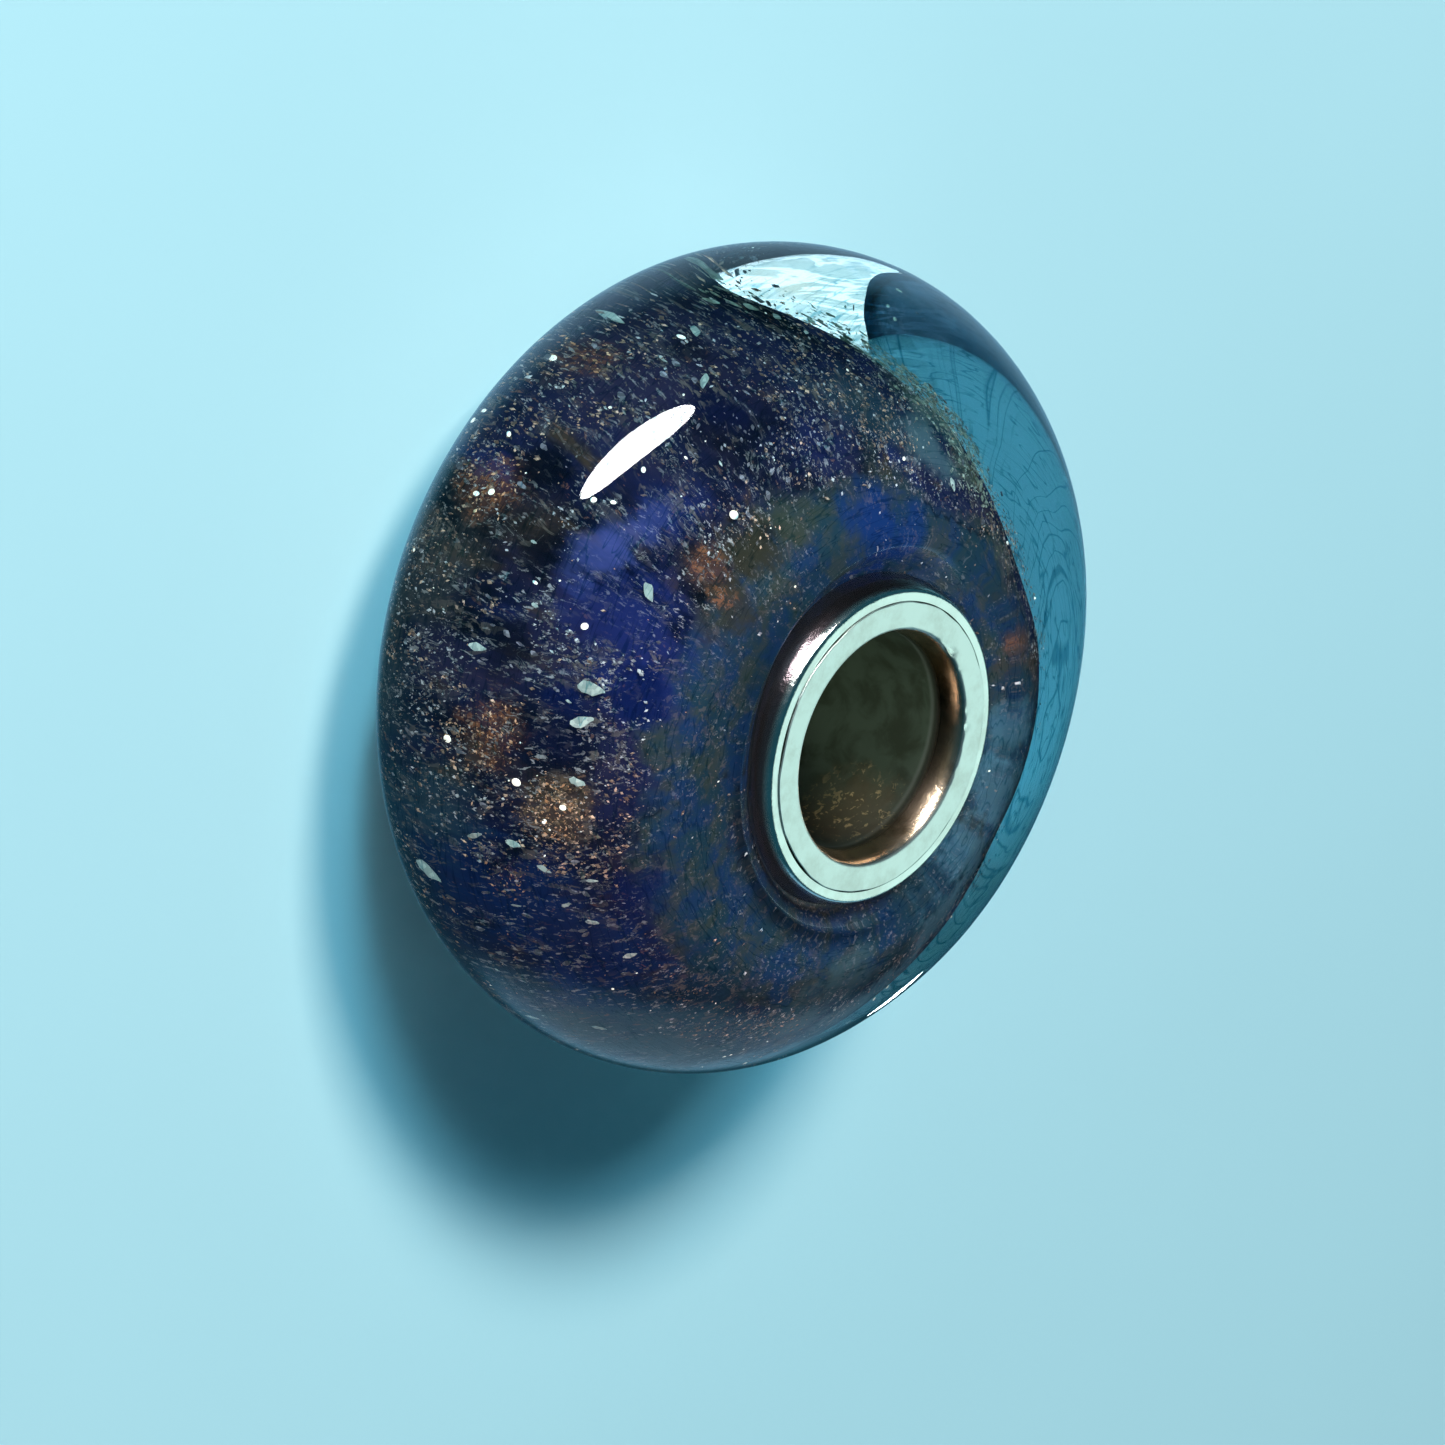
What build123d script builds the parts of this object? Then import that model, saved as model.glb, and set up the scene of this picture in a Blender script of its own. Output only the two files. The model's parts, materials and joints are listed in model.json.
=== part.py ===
from build123d import *

import os
from math import sqrt

# A glass charm bead on a flared metal core. The bore runs along Z, and its
# middle is the origin. +Z is the front end, and the back end is its mirror.
# All sizes are in millimetres.

# Clear outer glass: a doughnut that was wound off-centre on the core
glass_diameter = 15.0
glass_length = 7.76
crest_diameter = 6.16
casing_shift_x = -0.59
casing_shift_y = 0.40

# Dark inner glass: a barrel with dished ends, under the clear glass
clear_side = 2.10
clear_end = 0.68
body_shoulder = 1.40
body_dish = 0.30
body_shift_x = 0.35
side_fullness = 0.60
shoulder_fullness = 0.50
shoulder_height = 0.93

# Metal core tube: its two ends are flared out into flat flanges
bore_diameter = 3.90
tube_wall = 0.20
mouth_radius = 0.205
flange_flat = 0.43
flange_thickness = 0.25
flange_edge = 0.05
bend_radius = 0.12
face_stand = 0.17

# Metal collars: one under each flange, seated in the dimple of the glass
collar_rim = 0.195
collar_step = 0.03
collar_rounding = 0.12
collar_show = 0.55

# Dimple of the clear glass around each collar. Its lip overshoots the crest,
# so that it meets the end face at a small angle.
dimple_fall = 0.30
dimple_lip = 0.65
lip_overshoot = 0.02

# Clearances: metal to metal and metal to glass, and between the two glasses
fit_gap = 0.03
fuse_gap = 0.02

# Places that follow from the sizes above
glass_radius = glass_diameter / 2
crest_radius = crest_diameter / 2
crest_z = glass_length / 2
face_z = crest_z + face_stand

bore_radius = bore_diameter / 2
tube_radius = bore_radius + tube_wall
flange_radius = bore_radius + mouth_radius + flange_flat
flange_under_z = face_z - flange_thickness

collar_radius = flange_radius + collar_rim
collar_bore_radius = tube_radius + fit_gap
collar_top_z = face_z - collar_step
recess_radius = flange_radius + fit_gap
recess_z = flange_under_z - fit_gap

glass_bore_radius = tube_radius + fit_gap
dimple_radius = collar_radius + fit_gap
dimple_rim_z = face_z - collar_show
dimple_slope = dimple_fall / (dimple_radius - glass_bore_radius)
casing_shift = sqrt(casing_shift_x**2 + casing_shift_y**2)

body_radius = glass_radius - clear_side
body_face_radius = body_radius - body_shoulder
body_half_length = crest_z - clear_end


def turned(outline):
    """Solid of revolution about Z, from an outline drawn as radius and height."""
    return revolve(Plane.XZ * outline, axis=Axis.Z)


def corner(outline, radius, height):
    """The outline's vertex that lies at this radius and height."""
    return outline.vertices().sort_by_distance((radius, height, 0))[0]


def mirrored(solid):
    """The same solid at the back end of the bead."""
    return mirror(solid, about=Plane.XY)


def seat_height(radius):
    """Height of the dimple's conical floor at this radius from the core's axis."""
    return dimple_rim_z - (dimple_radius - radius) * dimple_slope


def bore_cutter(radius):
    """Round hole along the core's axis, through the whole bead."""
    return Cylinder(radius, 2 * (face_z + casing_shift))


def casing_form():
    """Outer form of the clear glass: an elliptic doughnut whose middle is filled."""
    side = EllipticalCenterArc(
        (crest_radius, 0), glass_radius - crest_radius, crest_z, start_angle=-90, arc_size=180
    )
    ends = Polyline((crest_radius, crest_z), (0, crest_z), (0, -crest_z), (crest_radius, -crest_z))
    return Pos(casing_shift_x, casing_shift_y, 0) * turned(make_face([side, ends]))


def dimple_cutter():
    """What the glass lacks around the front collar: a cone with a rounded lip."""
    lip_radius = dimple_radius + dimple_lip
    lip_z = crest_z + lip_overshoot
    above_z = face_z + dimple_lip
    lip = EllipticalCenterArc(
        (lip_radius, dimple_rim_z), dimple_lip, lip_z - dimple_rim_z, start_angle=90, arc_size=90
    )
    rest = Polyline(
        (dimple_radius, dimple_rim_z),
        (glass_bore_radius, seat_height(glass_bore_radius)),
        (0, seat_height(glass_bore_radius)),
        (0, above_z),
        (lip_radius, above_z),
        (lip_radius, lip_z),
    )
    return turned(make_face([lip, rest]))


def body_form(grow):
    """Outer form of the dark glass, made larger all round by grow."""
    radius = body_radius + grow
    face_radius = body_face_radius + grow
    height = body_half_length + grow
    side = Bezier(
        (radius, 0),
        (radius, side_fullness * height),
        (face_radius + shoulder_fullness * (radius - face_radius), shoulder_height * height),
        (face_radius, height),
    )
    face = Polyline((face_radius, height), (glass_bore_radius, height - body_dish), (0, height - body_dish))
    floor = Polyline((0, height - body_dish), (0, 0), (radius, 0))
    half = turned(make_face([side, face, floor]))
    return Pos(body_shift_x, 0, 0) * (half + mirrored(half))


def make_casing():
    """Clear outer glass, hollow where the dark glass sits."""
    dimple = dimple_cutter()
    solid = casing_form() - dimple - mirrored(dimple)
    return solid - body_form(fuse_gap) - bore_cutter(glass_bore_radius)


def make_body():
    """Dark inner glass, wound on the core."""
    return body_form(0) - bore_cutter(glass_bore_radius)


def make_tube():
    """Core tube with a flange and a rounded mouth at both ends."""
    outline = make_face(
        Polyline(
            (bore_radius, 0),
            (tube_radius, 0),
            (tube_radius, flange_under_z),
            (flange_radius, flange_under_z),
            (flange_radius, face_z),
            (bore_radius, face_z),
            close=True,
        )
    )
    outline = fillet(corner(outline, bore_radius, face_z), mouth_radius)
    outline = fillet(corner(outline, flange_radius, face_z), flange_edge)
    outline = fillet(corner(outline, tube_radius, flange_under_z), bend_radius)
    half = turned(outline)
    return half + mirrored(half)


def make_collar():
    """Front collar: a ring with a recess for the flange and a conical underside."""
    outline = make_face(
        Polyline(
            (collar_bore_radius, seat_height(collar_bore_radius) + fit_gap),
            (collar_radius, seat_height(collar_radius) + fit_gap),
            (collar_radius, collar_top_z),
            (recess_radius, collar_top_z),
            (recess_radius, recess_z),
            (collar_bore_radius, recess_z),
            close=True,
        )
    )
    outline = fillet(corner(outline, collar_radius, collar_top_z), collar_rounding)
    outline = fillet(corner(outline, collar_bore_radius, recess_z), bend_radius - fit_gap)
    return turned(outline)


front_collar = make_collar()
pieces = {
    "glass_casing": make_casing(),
    "glass_body": make_body(),
    "core_tube": make_tube(),
    "front_collar": front_collar,
    "back_collar": mirrored(front_collar),
}

os.makedirs("parts", exist_ok=True)
for name, solid in pieces.items():
    export_step(solid, f"parts/{name}.step")
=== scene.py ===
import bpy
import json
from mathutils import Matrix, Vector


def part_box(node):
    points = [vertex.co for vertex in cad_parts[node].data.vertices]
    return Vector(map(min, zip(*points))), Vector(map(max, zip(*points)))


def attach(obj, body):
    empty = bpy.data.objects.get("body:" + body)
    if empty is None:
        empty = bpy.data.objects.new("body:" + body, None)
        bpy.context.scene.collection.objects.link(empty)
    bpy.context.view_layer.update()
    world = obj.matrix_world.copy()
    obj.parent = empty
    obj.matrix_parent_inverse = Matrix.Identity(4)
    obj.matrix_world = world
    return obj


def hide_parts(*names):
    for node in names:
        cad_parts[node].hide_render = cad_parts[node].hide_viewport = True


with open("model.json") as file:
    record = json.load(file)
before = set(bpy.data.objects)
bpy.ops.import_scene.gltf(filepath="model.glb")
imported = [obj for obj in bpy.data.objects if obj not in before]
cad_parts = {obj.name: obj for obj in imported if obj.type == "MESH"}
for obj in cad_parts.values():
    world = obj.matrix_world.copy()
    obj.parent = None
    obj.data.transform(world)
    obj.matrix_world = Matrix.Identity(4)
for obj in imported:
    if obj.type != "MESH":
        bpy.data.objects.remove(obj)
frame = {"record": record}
"""A glass charm bead on a flared silver core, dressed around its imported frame.

The dark flecked glass is a barrel inside a ring of clear glass that was wound a little off-centre.
All lengths are metres, +Z runs along the bore towards the front end, and angles are degrees.
"""

import json
import logging
import random
from collections.abc import Callable
from dataclasses import dataclass, field
from enum import Enum
from math import acos, cos, degrees, pi, radians, sin

import bpy
import numpy as np
from mathutils import Matrix, Vector, noise
from mathutils.bvhtree import BVHTree

LOG = logging.getLogger("charm_bead")
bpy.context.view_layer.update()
MM = 0.001
BODY = "root"

Outline = list[tuple[float, float]]
Colour = tuple[float, float, float]
Piece = bpy.types.Object
Material = bpy.types.Material
Socket = bpy.types.NodeSocket


class End(Enum):
    """The two ends of the bead, as the sign of their height."""

    FRONT = 1
    BACK = -1


class Lit(Enum):
    """What a lamp shines on."""

    ALL = "all"
    BEAD = "bead"
    SILVER = "silver"
    GLASS = "glass and floor"


class Slot(Enum):
    """The record's material slots."""

    CLEAR = "clear_glass"
    DARK = "dark_glass"
    SILVER = "silver"


# Shared sizes


@dataclass(frozen=True)
class BeadSizes:
    """Sizes that several pieces share, read from the frame."""

    glass_centre: Vector
    glass_radius: float
    crest_z: float
    core_centre: Vector
    core_radius: float
    core_half_length: float
    bore_radius: float
    flange_radius: float
    face_z: float
    collar_radius: float
    collar_foot_z: float
    collar_top_z: float

    @classmethod
    def from_frame(cls) -> "BeadSizes":
        """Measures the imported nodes.

        Returns:
            The shared sizes, in metres.
        """
        clear_low, clear_high = (Vector(corner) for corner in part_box("glass_casing"))
        dark_low, dark_high = (Vector(corner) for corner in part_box("glass_body"))
        _, tube_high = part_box("core_tube")
        collar_low, collar_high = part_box("front_collar")
        mounts = {mount["name"]: mount for mount in frame["record"]["mounts"]}
        return cls(
            glass_centre=(clear_low + clear_high) / 2,
            glass_radius=(clear_high.x - clear_low.x) / 2,
            crest_z=clear_high.z,
            core_centre=(dark_low + dark_high) / 2,
            core_radius=(dark_high.x - dark_low.x) / 2,
            core_half_length=dark_high.z,
            bore_radius=mounts["core_bore"]["dims"]["r_mm"] * MM,
            flange_radius=tube_high[0],
            face_z=tube_high[2],
            collar_radius=collar_high[0],
            collar_foot_z=collar_low[2],
            collar_top_z=collar_high[2],
        )


# Modelling helpers


def ease(value: float) -> float:
    """Smooth step from 0 to 1, flat at both ends."""
    value = min(max(value, 0.0), 1.0)
    return value * value * (3.0 - 2.0 * value)


def span(value: float, low: float, high: float) -> float:
    """Where value lies between low and high, eased and kept from 0 to 1."""
    return ease((value - low) / (high - low))


def deselect_all() -> None:
    """Leaves no object selected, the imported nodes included."""
    for chosen in list(bpy.context.selected_objects):
        chosen.select_set(False)


def rounded(corners: list[tuple[float, float, float]], spacing: float) -> Outline:
    """Closed outline with rounded corners and evenly divided straight runs.

    Args:
        corners: radius, height and rounding of each corner, in order.
        spacing: the longest step along a straight run.

    Returns:
        Points of radius and height.
    """
    arc_steps = 7
    points: list[Vector] = []
    count = len(corners)
    for index, (radius, height, rounding) in enumerate(corners):
        here = Vector((radius, height))
        before = (Vector(corners[index - 1][:2]) - here).normalized()
        after = (Vector(corners[(index + 1) % count][:2]) - here).normalized()
        if rounding <= 0.0:
            points.append(here)
            continue
        start = here + before * rounding
        finish = here + after * rounding
        for step in range(arc_steps + 1):
            share = step / arc_steps
            points.append(start.lerp(here, share).lerp(here.lerp(finish, share), share))
    outline: Outline = []
    for here, following in zip(points, points[1:] + points[:1]):
        steps = max(1, int((following - here).length / spacing))
        outline += [tuple(here.lerp(following, step / steps)) for step in range(steps)]
    return outline


def put_in_order(mesh: bpy.types.Mesh) -> None:
    """Gives a mesh's faces one fixed order, which the operators leave to chance.

    Args:
        mesh: the mesh, whose points are already in a fixed order.
    """
    faces = []
    for polygon in mesh.polygons:
        corners = tuple(polygon.vertices)
        first = corners.index(min(corners))
        faces.append(corners[first:] + corners[:first])
    points = [tuple(vertex.co) for vertex in mesh.vertices]
    mesh.clear_geometry()
    mesh.from_pydata(points, [], sorted(faces))
    mesh.shade_smooth()
    mesh.update()


def turn_on_lathe(name: str, outline: Outline, turns: int) -> Piece:
    """Spins a closed outline round the Z axis into a ring-shaped piece.

    Args:
        name: the piece's name.
        outline: points of radius and height.
        turns: how many steps the full turn has.

    Returns:
        The finished piece, smooth shaded.
    """
    deselect_all()
    bpy.ops.mesh.primitive_circle_add(vertices=len(outline), radius=MM, fill_type="NOTHING")
    piece = bpy.context.active_object
    piece.name = piece.data.name = name
    for vertex, (radius, height) in zip(piece.data.vertices, outline):
        vertex.co = (radius, 0.0, height)
    bpy.ops.object.mode_set(mode="EDIT")
    bpy.ops.mesh.select_all(action="SELECT")
    bpy.ops.mesh.spin(steps=turns, angle=2 * pi, center=(0, 0, 0), axis=(0, 0, 1))
    bpy.ops.mesh.select_all(action="SELECT")
    bpy.ops.mesh.remove_doubles(threshold=0.0005 * MM)
    bpy.ops.mesh.normals_make_consistent(inside=False)
    bpy.ops.object.mode_set(mode="OBJECT")
    put_in_order(piece.data)
    return piece


def shape(piece: Piece, rule: Callable[[Vector], Vector]) -> None:
    """Moves every point of a piece by a rule.

    Args:
        piece: the piece to shape.
        rule: gives a point's new place from its old one.
    """
    for vertex in piece.data.vertices:
        vertex.co = rule(vertex.co.copy())
    piece.data.update()


def around(point: Vector) -> Vector:
    """Unit vector from the bore's axis out to a point, in the XY plane."""
    flat = Vector((point.x, point.y, 0.0))
    return flat.normalized() if flat.length else Vector((1.0, 0.0, 0.0))


def cylindrical(azimuth: float, radius: float, height: float) -> Vector:
    """Point at an azimuth in degrees from +X, a radius and a height."""
    return Vector((radius * cos(radians(azimuth)), radius * sin(radians(azimuth)), height))


def off_axis(point: Vector) -> float:
    """How far a point is from the bore's axis."""
    return Vector((point.x, point.y)).length


def facing(point: Vector, azimuth: float) -> float:
    """How much a point lies on the side at an azimuth, from 1 there to 0 a quarter turn away."""
    return max(0.0, around(point).dot(cylindrical(azimuth, 1.0, 0.0)))


def ripple(point: Vector, size: float, seed: float) -> float:
    """Smooth noise from about -1 to 1, with lumps of the given size."""
    return noise.noise(point / size + Vector((seed, 2.3 * seed, -seed)))


def new_mesh_object(name: str, points: np.ndarray, faces: np.ndarray) -> Piece:
    """Object made from arrays, linked to the scene.

    Args:
        name: the piece's name.
        points: vertex places, one row each.
        faces: vertex numbers, one row for each face.

    Returns:
        The new piece.
    """
    mesh = bpy.data.meshes.new(name)
    mesh.from_pydata(points.tolist(), [], faces.tolist())
    mesh.update()
    piece = bpy.data.objects.new(name, mesh)
    bpy.context.scene.collection.objects.link(piece)
    return piece


def hand_over(piece: Piece, finish: Material, slot: Slot, *nodes: str) -> None:
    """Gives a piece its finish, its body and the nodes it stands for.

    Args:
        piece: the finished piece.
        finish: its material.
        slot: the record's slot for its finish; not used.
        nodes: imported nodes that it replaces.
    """
    piece.data.materials.clear()
    piece.data.materials.append(finish)
    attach(piece, BODY)
    if nodes:
        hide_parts(*nodes)
    LOG.info("%s: %d faces", piece.name, len(piece.data.polygons))


@dataclass
class LathePiece:
    """A piece that is turned round the bore's axis, and then shaped point by point."""

    sizes: BeadSizes
    name: str = "turned"
    node: str = ""
    slot: Slot = Slot.SILVER
    turns: int = 256

    def outline(self) -> Outline:
        """Section of the piece, as points of radius and height all round it."""
        raise NotImplementedError

    def settle(self, point: Vector) -> Vector:
        """Finished place of a turned point."""
        return point

    def build(self, finish: Material) -> Piece:
        """Models the piece and hands it over.

        Args:
            finish: its material.

        Returns:
            The finished piece.
        """
        piece = turn_on_lathe(self.name, self.outline(), self.turns)
        shape(piece, self.settle)
        hand_over(piece, finish, self.slot, self.node)
        return piece


# Node wiring


class Bench:
    """Places nodes in one node tree and wires them."""

    def __init__(self, tree: bpy.types.NodeTree) -> None:
        """Starts on a node tree."""
        self.tree = tree
        self.column = 0

    def node(self, kind: str, inputs: dict | None = None, **settings: object) -> bpy.types.Node:
        """Adds a node.

        Args:
            kind: the node's type name.
            inputs: socket name or number to a value or an output socket.
            settings: properties of the node itself.

        Returns:
            The new node.
        """
        made = self.tree.nodes.new(kind)
        made.location = (self.column * 180.0, 0.0)
        self.column += 1
        for key, value in settings.items():
            setattr(made, key, value)
        for key, value in (inputs or {}).items():
            self.feed(made.inputs[key], value)
        return made

    def feed(self, socket: Socket, value: object) -> None:
        """Links an output into a socket, or sets the socket's own value.

        Args:
            socket: the input socket.
            value: an output socket, a number, a vector or a colour.
        """
        if isinstance(value, Socket):
            self.tree.links.new(value, socket)
        elif socket.type == "RGBA" and len(value) == 3:
            socket.default_value = (*value, 1.0)
        else:
            socket.default_value = value

    def math(self, operation: str, *values: object) -> Socket:
        """Output of a Math node."""
        return self.node("ShaderNodeMath", dict(enumerate(values)), operation=operation).outputs[0]

    def times(self, one: object, other: object) -> Socket:
        """Product of two values."""
        return self.math("MULTIPLY", one, other)

    def less(self, value: object, taken: object) -> Socket:
        """What is left of a value when another is taken from it."""
        return self.math("SUBTRACT", value, taken)

    def distance(self, value: object, level: float) -> Socket:
        """How far a value is from a level, above or below it."""
        return self.math("ABSOLUTE", self.less(value, level))

    def vector(self, operation: str, *values: object) -> Socket:
        """Output of a Vector Math node: one value for a length, distance or dot product."""
        made = self.node("ShaderNodeVectorMath", dict(enumerate(values)), operation=operation)
        return made.outputs["Value" if operation in ("LENGTH", "DISTANCE", "DOT_PRODUCT") else "Vector"]

    def parts(self, vector: object) -> bpy.types.NodeOutputs:
        """The X, Y and Z of a vector."""
        return self.node("ShaderNodeSeparateXYZ", {0: vector}).outputs

    def joined(self, **parts: object) -> Socket:
        """Vector made from its X, Y and Z; a part that isn't given is 0."""
        return self.node("ShaderNodeCombineXYZ", parts).outputs[0]

    def blend(self, mask: object, below: object, above: object) -> Socket:
        """Lays one colour over another.

        Args:
            mask: 0 shows the colour below, and 1 the colour above.
            below: the colour below.
            above: the colour above.

        Returns:
            The blended colour.
        """
        factor, colour_a, colour_b = 0, 6, 7
        made = self.node("ShaderNodeMix", data_type="RGBA")
        for number, value in ((factor, mask), (colour_a, below), (colour_b, above)):
            self.feed(made.inputs[number], value)
        return made.outputs[2]

    def ranged(
        self, value: object, low: object, high: object, to_low: object = 0.0, to_high: object = 1.0
    ) -> Socket:
        """Moves a value smoothly from one range to another.

        Args:
            value: what is moved.
            low: gives to_low.
            high: gives to_high.
            to_low: the result at low.
            to_high: the result at high.

        Returns:
            The moved value.
        """
        made = self.node("ShaderNodeMapRange", interpolation_type="SMOOTHSTEP")
        for number, given in enumerate((value, low, high, to_low, to_high)):
            self.feed(made.inputs[number], given)
        return made.outputs[0]

    def noise(
        self, place: object, scale: object, detail: float = 2.0, rough: float = 0.5, warp: float = 0.0
    ) -> Socket:
        """Factor output of a Noise texture."""
        inputs = {"Vector": place, "Scale": scale, "Detail": detail, "Roughness": rough, "Distortion": warp}
        return self.node("ShaderNodeTexNoise", inputs).outputs["Fac"]

    def bump(self, height: object, strength: object, depth: float) -> Socket:
        """Normal that a Bump node gives for a height."""
        inputs = {"Strength": strength, "Distance": depth, "Height": height}
        return self.node("ShaderNodeBump", inputs).outputs["Normal"]

    def place(self) -> Socket:
        """Object coordinates, which for these pieces are places in the bead's frame."""
        return self.node("ShaderNodeTexCoord").outputs["Object"]

    def use(self, group: bpy.types.NodeTree, **inputs: object) -> bpy.types.NodeOutputs:
        """Adds a node group.

        Args:
            group: the node group.
            inputs: input name to a value or an output socket.

        Returns:
            The group's outputs.
        """
        made = self.node("ShaderNodeGroup", node_tree=group)
        for key, value in inputs.items():
            self.feed(made.inputs[key], value)
        return made.outputs

    def mask(self, group: bpy.types.NodeTree, **inputs: object) -> Socket:
        """Mask of a node group that has its own input values."""
        return self.use(group, **inputs)["Mask"]


def build_group(
    name: str, inputs: dict[str, str], outputs: dict[str, str], fill: Callable[[Bench, object, object], None]
) -> bpy.types.NodeTree:
    """Makes a shader node group.

    Args:
        name: the group's name.
        inputs: input name to Float, Vector or Color.
        outputs: output name to Float, Vector or Color.
        fill: wires the inside, from the input node's outputs to the output node's inputs.

    Returns:
        The node group.
    """
    tree = bpy.data.node_groups.new(name, "ShaderNodeTree")
    for direction, plan in (("INPUT", inputs), ("OUTPUT", outputs)):
        for socket_name, kind in plan.items():
            tree.interface.new_socket(socket_name, in_out=direction, socket_type=f"NodeSocket{kind}")
    source = tree.nodes.new("NodeGroupInput")
    sink = tree.nodes.new("NodeGroupOutput")
    fill(Bench(tree), source.outputs, sink.inputs)
    return tree


class Effects:
    """Node groups that several finishes use."""

    def __init__(self) -> None:
        """Builds each group once; all read a place, and most put out one mask."""

        def group(name: str, fill: Callable, outputs: dict[str, str], **inputs: str) -> bpy.types.NodeTree:
            """Group whose first input is Place."""
            return build_group(name, {"Place": "Vector", **inputs}, outputs, fill)

        mask = {"Mask": "Float"}
        worn = {"Stain": "Float", "Normal": "Vector"}
        self.patch = group("soft_patch", self._patch, mask, Centre="Vector", Reach="Float", Edge="Float")
        self.cloud = group("cloud", self._cloud, mask, Scale="Float", Low="Float", High="Float")
        self.specks = group("long_specks", self._specks, mask, Scale="Float", Amount="Float")
        self.winding = group("winding", self._winding, mask, Fine="Float", Turn="Float", Width="Float")
        self.wear = group("worn_metal", self._wear, worn, Scale="Float", Depth="Float")

    @staticmethod
    def _patch(bench: Bench, source: object, sink: object) -> None:
        """Round patch, 1 in its middle; Edge is added to the distance, so noise there makes it ragged."""
        offset = bench.vector("DISTANCE", source["Place"], source["Centre"])
        away = bench.math("ADD", bench.math("DIVIDE", offset, source["Reach"]), source["Edge"])
        bench.feed(sink["Mask"], bench.ranged(away, 1.0, 0.2))

    @staticmethod
    def _cloud(bench: Bench, source: object, sink: object) -> None:
        """Soft uneven cloud, from noise between two levels."""
        drift = bench.noise(source["Place"], source["Scale"], 4.0, 0.58, 0.4)
        bench.feed(sink["Mask"], bench.ranged(drift, source["Low"], source["High"]))

    @staticmethod
    def _winding(bench: Bench, source: object, sink: object) -> None:
        """Fine wavy threads that run round the bore, as glass wound on a rod leaves them."""
        parts = bench.parts(source["Place"])
        flat = bench.joined(X=parts["X"], Y=parts["Y"])
        turn = bench.node("ShaderNodeVectorMath", {0: bench.vector("NORMALIZE", flat)}, operation="SCALE")
        bench.feed(turn.inputs["Scale"], source["Turn"])
        rise = bench.joined(Z=bench.times(parts["Z"], source["Fine"]))
        where = bench.vector("ADD", turn.outputs[0], rise)
        depth = bench.times(bench.vector("LENGTH", flat), source["Fine"])
        inputs = {"Vector": where, "W": depth, "Scale": 1.0, "Detail": 1.0, "Roughness": 0.5}
        level = bench.node("ShaderNodeTexNoise", inputs, noise_dimensions="4D").outputs["Fac"]
        bench.feed(sink["Mask"], bench.ranged(bench.distance(level, 0.5), source["Width"], 0.0))

    @staticmethod
    def _specks(bench: Bench, source: object, sink: object) -> None:
        """Fine specks, scattered by noise; a larger Amount lowers the level that they rise above."""
        sparse_level, softness = 0.70, 0.06
        fine = bench.noise(source["Place"], source["Scale"], 3.0, 0.7, 0.6)
        level = bench.less(sparse_level, source["Amount"])
        bench.feed(sink["Mask"], bench.ranged(fine, level, bench.math("ADD", level, softness)))

    @staticmethod
    def _wear(bench: Bench, source: object, sink: object) -> None:
        """Uneven stain and shallow scuffs of handled silver."""
        scuffs_per_stain, scuff_depth = 6.0, 0.02 * MM
        stain = bench.noise(source["Place"], source["Scale"], 5.0, 0.65)
        scuffs = bench.noise(source["Place"], bench.times(source["Scale"], scuffs_per_stain), 3.0, 0.6, 1.5)
        bench.feed(sink["Stain"], bench.ranged(stain, 0.42, 0.68))
        bench.feed(sink["Normal"], bench.bump(scuffs, source["Depth"], scuff_depth))


def new_material(name: str) -> tuple[Material, Bench, bpy.types.Node]:
    """Empty material with a Principled shader.

    Args:
        name: the material's name.

    Returns:
        The material, a bench on its nodes, and its Principled node.
    """
    material = bpy.data.materials.new(name)
    material.use_nodes = True
    material.node_tree.nodes.clear()
    bench = Bench(material.node_tree)
    shader = bench.node("ShaderNodeBsdfPrincipled")
    output = bench.node("ShaderNodeOutputMaterial")
    bench.feed(output.inputs["Surface"], shader.outputs[0])
    return material, bench, shader


# Finishes


class GlassColour(Enum):
    """Colours of the dark glass, each as linear red, green and blue."""

    BLACK = (0.0015, 0.0018, 0.006)
    MIDNIGHT = (0.004, 0.0045, 0.022)
    NAVY = (0.012, 0.012, 0.042)
    VIOLET = (0.023, 0.016, 0.04)
    COBALT = (0.011, 0.015, 0.08)
    GLOW = (0.05, 0.058, 0.195)
    SLATE = (0.011, 0.028, 0.042)
    TEAL_GREY = (0.042, 0.08, 0.095)
    BROWN = (0.048, 0.027, 0.018)
    UMBER = (0.026, 0.021, 0.013)
    COPPER = (0.3, 0.1, 0.038)
    GOLD = (0.48, 0.28, 0.15)
    OLIVE = (0.033, 0.037, 0.027)
    FRINGE = (0.13, 0.135, 0.085)
    END_BLUE = (0.009, 0.024, 0.068)
    ROYAL = (0.006, 0.021, 0.095)
    # The next two are painted reflections, laid on the back of the barrel where it is seen mirrored inside
    # the clear glass.
    LILAC = (0.55, 0.48, 0.62)
    LAGOON = (0.05, 0.19, 0.34)
    HAZE = (0.09, 0.14, 0.16)
    INDIGO = (0.024, 0.036, 0.14)
    ASH = (0.06, 0.052, 0.05)
    MIST = (0.11, 0.25, 0.32)
    DEEP_BLUE = (0.003, 0.007, 0.05)


@dataclass(frozen=True)
class Patch:
    """One patch of colour in the dark glass, placed round the bore; grain breaks it into specks."""

    colour: GlassColour
    azimuth: float
    height: float
    reach: float
    strength: float = 1.0
    radius: float = 5.2
    grain: float = 0.0


@dataclass(frozen=True)
class Dust:
    """One kind of fine dust in the dark glass: its size, amount, strength, colour and clumps."""

    scale: float
    amount: float
    strength: float
    colour: Colour
    clump_scale: float
    on_end: float = 0.2


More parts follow.
